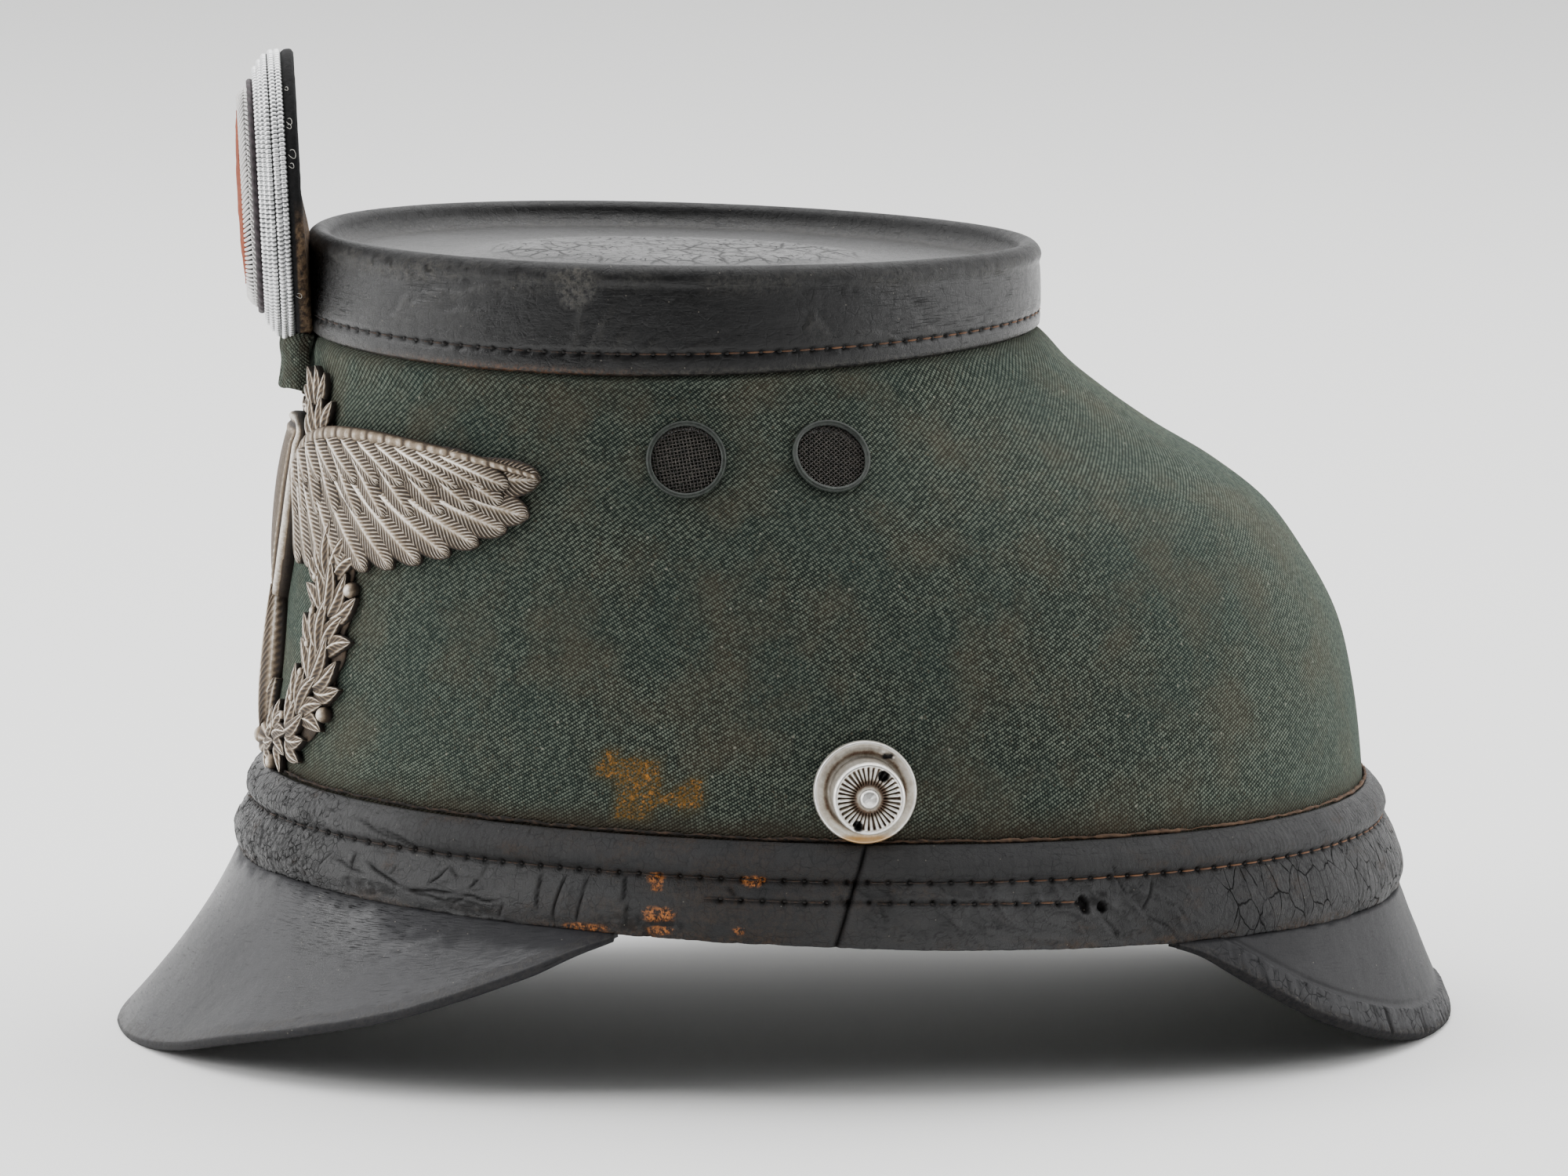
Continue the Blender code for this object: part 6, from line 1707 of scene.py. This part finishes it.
def makeProngAndLoop():
    # the cockade's flat prong, and the cloth loop on the cap's front that holds it: the loop
    # stands out by lift + bow * sin(t)^0.8 as t goes from one side to the other
    prong, loop = cockade["prong"], cockade["loop"]
    turn = np.linspace(0, 2 * np.pi, 40, endpoint=False)
    across = prong["halfWidth"] * np.sign(np.cos(turn)) * np.abs(np.cos(turn)) ** 0.35
    deep = prong["halfDepth"] * np.sign(np.sin(turn)) * np.abs(np.sin(turn)) ** 0.6
    levels = prong["z"] + np.array([-3.75, -3.6, 0, 3.6, 3.75])
    inset = np.array([0.85, 1, 1, 1, 0.85])[:, None]
    points = np.stack(np.broadcast_arrays(across * inset, prong["y"] + deep * inset, levels[:, None]), -1)
    makePiece("cockadeProng", [gridPart(points, closeColumns=True, capRows=True, marks={"raised": 0.4})],
              badgeMetal, ("cockade_prong",))
    t = np.linspace(0, np.pi, 90)[None, :]
    z = np.linspace(loop["foot"], loop["top"], 26)[:, None]
    soft = 0.25 * clouds(t * 5, z / 3.0, 91)
    lift = loop["lift"] + loop["bow"] * np.sin(t) ** 0.8 + soft * np.sin(t)
    points = onFront(loop["halfWidth"] * np.cos(t) + 0 * z, z + 0.3 * np.sin(3 * t) + 0 * t, lift + 0 * z)
    normals = outwards(gridNormals(points), points, np.array([0, -90.0, 142.0]))
    uv = np.stack(np.broadcast_arrays(t * 7, z), -1)
    dirt = 0.25 + 0.5 * ease(clouds(t * 4, z / 3, 92) * 2 + 0.3)
    makePiece("cockadeLoop", [shellPart(points, normals, loop["wall"], uv=uv, marks={"dirt": dirt},
                                        innerStep=2)], wool,
              ("cockade_loop",), weld=True)


makeProngAndLoop()


boss = {
    "y": 9.2, "z": 65.4, "columns": {"Base": 144, "Knob": 180},
    "lean": (0.05, -0.10),     # the knob has been knocked to the rear and down
    "base": ((0.05, 1.5), (7.8, 1.5), (8.3, 2.3), (9.6, 2.3), (10.0, 2.9), (10.6, 2.5), (10.6, 0.35),
             (0.05, 0.35)),
    "knob": ((0.05, 9.4), (1.75, 9.25), (2.15, 8.3), (6.2, 8.3), (6.5, 8.9), (7.2, 8.7), (7.5, 8.0),
             (7.0, 5.2), (7.4, 1.8), (0.05, 1.8)),
    "flutes": 36, "fluteFrom": 2.9, "fluteTo": 6.6,
    "holes": ((3.0, 4.6, 1.25), (-2.3, -5.6, 1.05)),
}


def turnedRows(profile, spacing, sharp=0.22):
    # a profile's corners drawn out to many rows, with a short bevel at each corner
    profile = np.array(profile, float)
    rows = [profile[0]]
    for before, corner, after in zip(profile, profile[1:], profile[2:]):
        for other in (before, after):
            reach = min(sharp, 0.45 * np.hypot(*(other - corner)))
            rows.append(corner + (other - corner) / np.hypot(*(other - corner)) * reach)
    rows.append(profile[-1])
    rows = np.array(rows)
    run = runAlong(rows)
    extra = np.arange(0, run[-1], spacing)
    places = np.unique(np.concatenate((run, extra)).round(3))
    return np.stack([np.interp(places, run, rows[:, k]) for k in (0, 1)], -1)


def onSide(side, y, z, across, up, height):
    # coordinates square to the cloth at a place on one side: across runs to the rear
    place, a, b, out = sideFrame(y, z)
    flip = np.array([side, 1, 1])
    return (place + across[..., None] * a + up[..., None] * b + np.asarray(height)[..., None] * out) * flip


def makeBoss(side, name):
    # turned profiles with marks on them; the knob has flutes between two radii, its depth a slot
    # of 0.5 + 0.5 cos(flutes * turn), and pits, and both have small dents
    for part, profile, node in (("Base", boss["base"], "base"), ("Knob", boss["knob"], "knob")):
        turn = np.linspace(0, 2 * np.pi, boss["columns"][part], endpoint=False)
        rows = turnedRows(profile, 0.22 if part == "Knob" else 0.5)
        rows = rows[(rows[:, 1] > 7.5) | (np.arange(len(rows)) % 3 == 0)] if part == "Knob" else rows
        r, h = rows[:, :1] + 0 * turn, rows[:, 1:] + 0 * turn
        across, up = r * np.cos(turn), r * np.sin(turn)
        front = h > 2.0 if part == "Base" else h > 7.5
        raised = 0.55 + 0.25 * clouds(across / 1.6, up / 1.6, 95 + side) + 0 * r
        stain, hole = np.zeros(r.shape), np.zeros(r.shape)
        shift = np.zeros(r.shape)
        if part == "Knob":
            window = ease((r - boss["fluteFrom"]) / 0.35) * ease((boss["fluteTo"] - r) / 0.35) * front
            wave = 0.5 + 0.5 * np.cos(turn * boss["flutes"] + 0.6 * noise(turn * 6 / np.pi, 0 * turn, 5))
            slot = ease((wave - 0.50) / 0.3)
            shift = shift - 1.0 * slot * window - 0.55 * np.exp(-((r - 3.0) / 0.55) ** 2) * front
            raised = raised + 0.35 * (1 - slot) * window - 0.9 * slot * window
            raised = raised - 0.95 * np.exp(-((r - 3.3) / 0.85) ** 2) * front
            raised = raised + 0.35 * np.exp(-((r - 6.9) / 0.4) ** 2) * front + 0.3 * (r < 2.2) * front
            shift = shift + 0.12 * clouds(across / 1.2, up / 1.2, 97) * (r < 2.2)
            for x0, z0, radius in boss["holes"]:
                d = np.hypot(across - x0, up - z0) + 0.25 * clouds(across / 0.8, up / 0.8, 98)
                hole = np.maximum(hole, (1 - ease((d - radius * 0.8) / 0.3)) * front)
            shift = shift - 1.6 * hole
        else:
            raised = raised + 0.35 * np.exp(-((r - 10.1) / 0.35) ** 2) - 0.5 * np.exp(-((r - 8.2) / 0.5) ** 2)
            d = np.hypot((across - 5.0) / 1.5, (up - 7.3) / 1.0) + 0.7 * clouds(across / 0.9, up / 0.9, 99)
            hole = (1 - ease((d - 0.55) / 0.3)) * (h > 1)
            shift = shift - 0.9 * hole
            stain = 0.8 * ease((-up - 8.2) / 1.2) * (h > 0.5) * ease((across + 7) / 3)
        dents = 0.10 * clouds(across / 2.6, up / 2.6, 101 + side)
        if part == "Knob":
            across, up = across + boss["lean"][0] * h, up + boss["lean"][1] * h
        points = onSide(side, boss["y"], boss["z"], across, up, h + (shift + dents) * (h > 1.85))
        # the holes are sunk and marked to be painted near black, as painted shade in them
        marks = {"raised": np.clip(raised, 0, 1), "stain": stain, "crack": hole}
        makePiece(name + "Boss" + part, [gridPart(points, closeColumns=True, marks=marks, capRows=True)],
                  bossMetal, (name + "_boss_" + node,), weld=True)


def makePaint(name, dark, light):
    # thin enamel on stamped metal, dulled and mottled
    material, tree, shader = newMaterial(name)
    solid = mmPlaces(tree)
    mottle = addNode(tree, "TexNoise", {"Vector": solid, "Scale": 0.9, "Detail": 5.0, "Roughness": 0.7})
    colour = addNode(tree, "ValToRGB", {0: mottle}, stops=((0.35, dark), (0.65, light)))
    tree.links.new(colour, shader["Base Color"])
    shader["Roughness"].default_value = 0.5
    bump = addNode(tree, "Bump", {"Height": mottle, "Strength": 0.4, "Distance": 0.0002})
    tree.links.new(bump, shader["Normal"])
    return material


ventPaint = makePaint("darkRimEnamel", "#131713", "#2b332c")
gauzeWire = makePaint("blackenedIronWire", "#171513", "#4b4540")


def makeVents(side, name):
    # a turned rim, and gauze of wires crossing at right angles, each a wave
    # 0.17 cos(pi t / spacing) that goes over one wire and under the next
    turn = np.linspace(0, 2 * np.pi, 120, endpoint=False)
    for place, y in vents["places"]:
        rows = turnedRows(vents["rim"], 5.0, 0.15)[:-1]
        r, h = rows[:, :1] + 0 * turn, rows[:, 1:] + 0 * turn
        points = onSide(side, y, vents["height"], r * np.cos(turn), r * np.sin(turn),
                        h + 0.08 * noise(turn * 3, 0 * r, 7) * (h > 0.5))
        node = "{}_{}_vent_".format(name, place)
        title = name + place.capitalize() + "Vent"
        makePiece(title + "Ring", [gridPart(points, True, True)], ventPaint,
                  (node + "ring",), weld=True)
        spacing, radius, reach = vents["wireSpacing"], vents["wireRadius"], vents["gauzeReach"]
        parts = []
        count = int(reach / spacing)
        mesh = vents["meshTurn"][place]
        for way in (0, 1):
            for k in range(-count, count + 1):
                offset = k * spacing
                half = np.sqrt(reach ** 2 - offset ** 2)
                t = np.linspace(-half, half, max(int(half * 3.2 / spacing), 6))
                wave = vents["wireWave"] * np.cos(np.pi * t / spacing + np.pi * (k + way))
                a, b = (t, offset + 0 * t) if way == 0 else (offset + 0 * t, t)
                across = a * np.cos(mesh) - b * np.sin(mesh)
                up = a * np.sin(mesh) + b * np.cos(mesh)
                path = onSide(side, y, vents["height"], across, up, 0.1 + wave)
                ahead = unit(np.gradient(path, axis=0))
                out = unit(onSide(side, y, vents["height"], across, up, wave + 1.0) - path)
                across3 = unit(np.cross(ahead, out))
                parts.append(gridPart(tubePoints(path, across3, np.cross(across3, ahead),
                                                 np.full(len(t), radius), 4),
                                      closeColumns=True, capRows=True))
        makePiece(title + "Gauze", parts, gauzeWire, (node + "gauze",))


print("bosses and vents")
for side, name in ((1, "left"), (-1, "right")):
    makeBoss(side, name)
    makeVents(side, name)


stageLook = {
    "floor": "#f7f7f6",
    "floorAhead": "#8c8c8c",  # past the paper's near edge, where the room is dim
    # the white wall behind the cap, and the dark room on the side that faces +X
    "wall": 2.0,
    "room": 0.09,
    "lens": 169.9,
    "sensor": 36.0,
    "eye": (1.5754, -0.1240, 0.3433),
    "aim": (0, 0, 0.093),
}


def makeFloor():
    # pale matt paper that falls off towards the dim room
    material, tree, shader = newMaterial("palePaper")
    across = addNode(tree, "SeparateXYZ", {0: addNode(tree, "TexCoord", out=3)})
    ahead = addNode(tree, "MapRange", {0: across, 1: 0.22, 2: 0.8}, interpolation_type="SMOOTHSTEP")
    colour = addNode(tree, "MixRGB", {0: ahead, 1: stageLook["floor"], 2: stageLook["floorAhead"]})
    tree.links.new(colour, shader["Base Color"])
    shader["Roughness"].default_value = 0.9
    shader["Specular IOR Level"].default_value = 0.1
    bpy.ops.mesh.primitive_plane_add(size=8.0, location=(0, 0, 0))
    floor = bpy.context.object
    floor.name = "paperFloor"
    floor.data.materials.append(material)


def addLight(name, place, aim, size, power, colour=(1, 1, 1)):
    # a rectangular soft box at a place, turned to its aim
    light = bpy.data.lights.new(name, "AREA")
    light.shape = "RECTANGLE"
    light.size, light.size_y = size
    light.energy = power
    light.color = colour
    lamp = bpy.data.objects.new(name, light)
    lamp.location = place
    lamp.rotation_euler = (Vector(aim) - Vector(place)).to_track_quat("-Z", "Y").to_euler()
    bpy.context.scene.collection.objects.link(lamp)


def makeLights():
    # soft boxes over the top and at both ends, and a world that runs from a white wall at -X
    # to a dim room at +X, so the leather shines at the cap's ends and darkens in the middle
    addLight("topSoftbox", (-0.3, 0.0, 2.0), (0, 0, 0.1), (2.6, 2.6), 60)
    addLight("frontSoftbox", (0.3, -1.9, 0.9), (0, -0.05, 0.1), (1.0, 1.3), 26)
    addLight("rearSoftbox", (0.3, 1.9, 0.8), (0, 0.05, 0.1), (1.0, 1.3), 20)
    world = bpy.data.worlds.new("studioWhite")
    world.use_nodes = True
    tree = world.node_tree
    places = addNode(tree, "TexCoord")
    across = addNode(tree, "SeparateXYZ", {0: places})
    strength = addNode(tree, "MapRange",
                       {0: across, 1: -0.35, 2: 0.45, 3: stageLook["wall"], 4: stageLook["room"]},
                       interpolation_type="SMOOTHSTEP")
    background = tree.nodes["Background"].inputs
    background[0].default_value = (1, 1, 1, 1)
    tree.links.new(strength, background[1])
    bpy.context.scene.world = world


def makeCamera():
    # the photo's own viewing angle, looking at the cap's middle
    camera = bpy.data.cameras.new("photoCamera")
    camera.lens = stageLook["lens"]
    camera.sensor_width = stageLook["sensor"]
    eye = bpy.data.objects.new("photoCamera", camera)
    place, aim = Vector(stageLook["eye"]), Vector(stageLook["aim"])
    eye.location = place
    eye.rotation_euler = (aim - place).to_track_quat("-Z", "Y").to_euler()
    bpy.context.scene.collection.objects.link(eye)
    bpy.context.scene.camera = eye


print("stage")
makeFloor()
makeLights()
makeCamera()
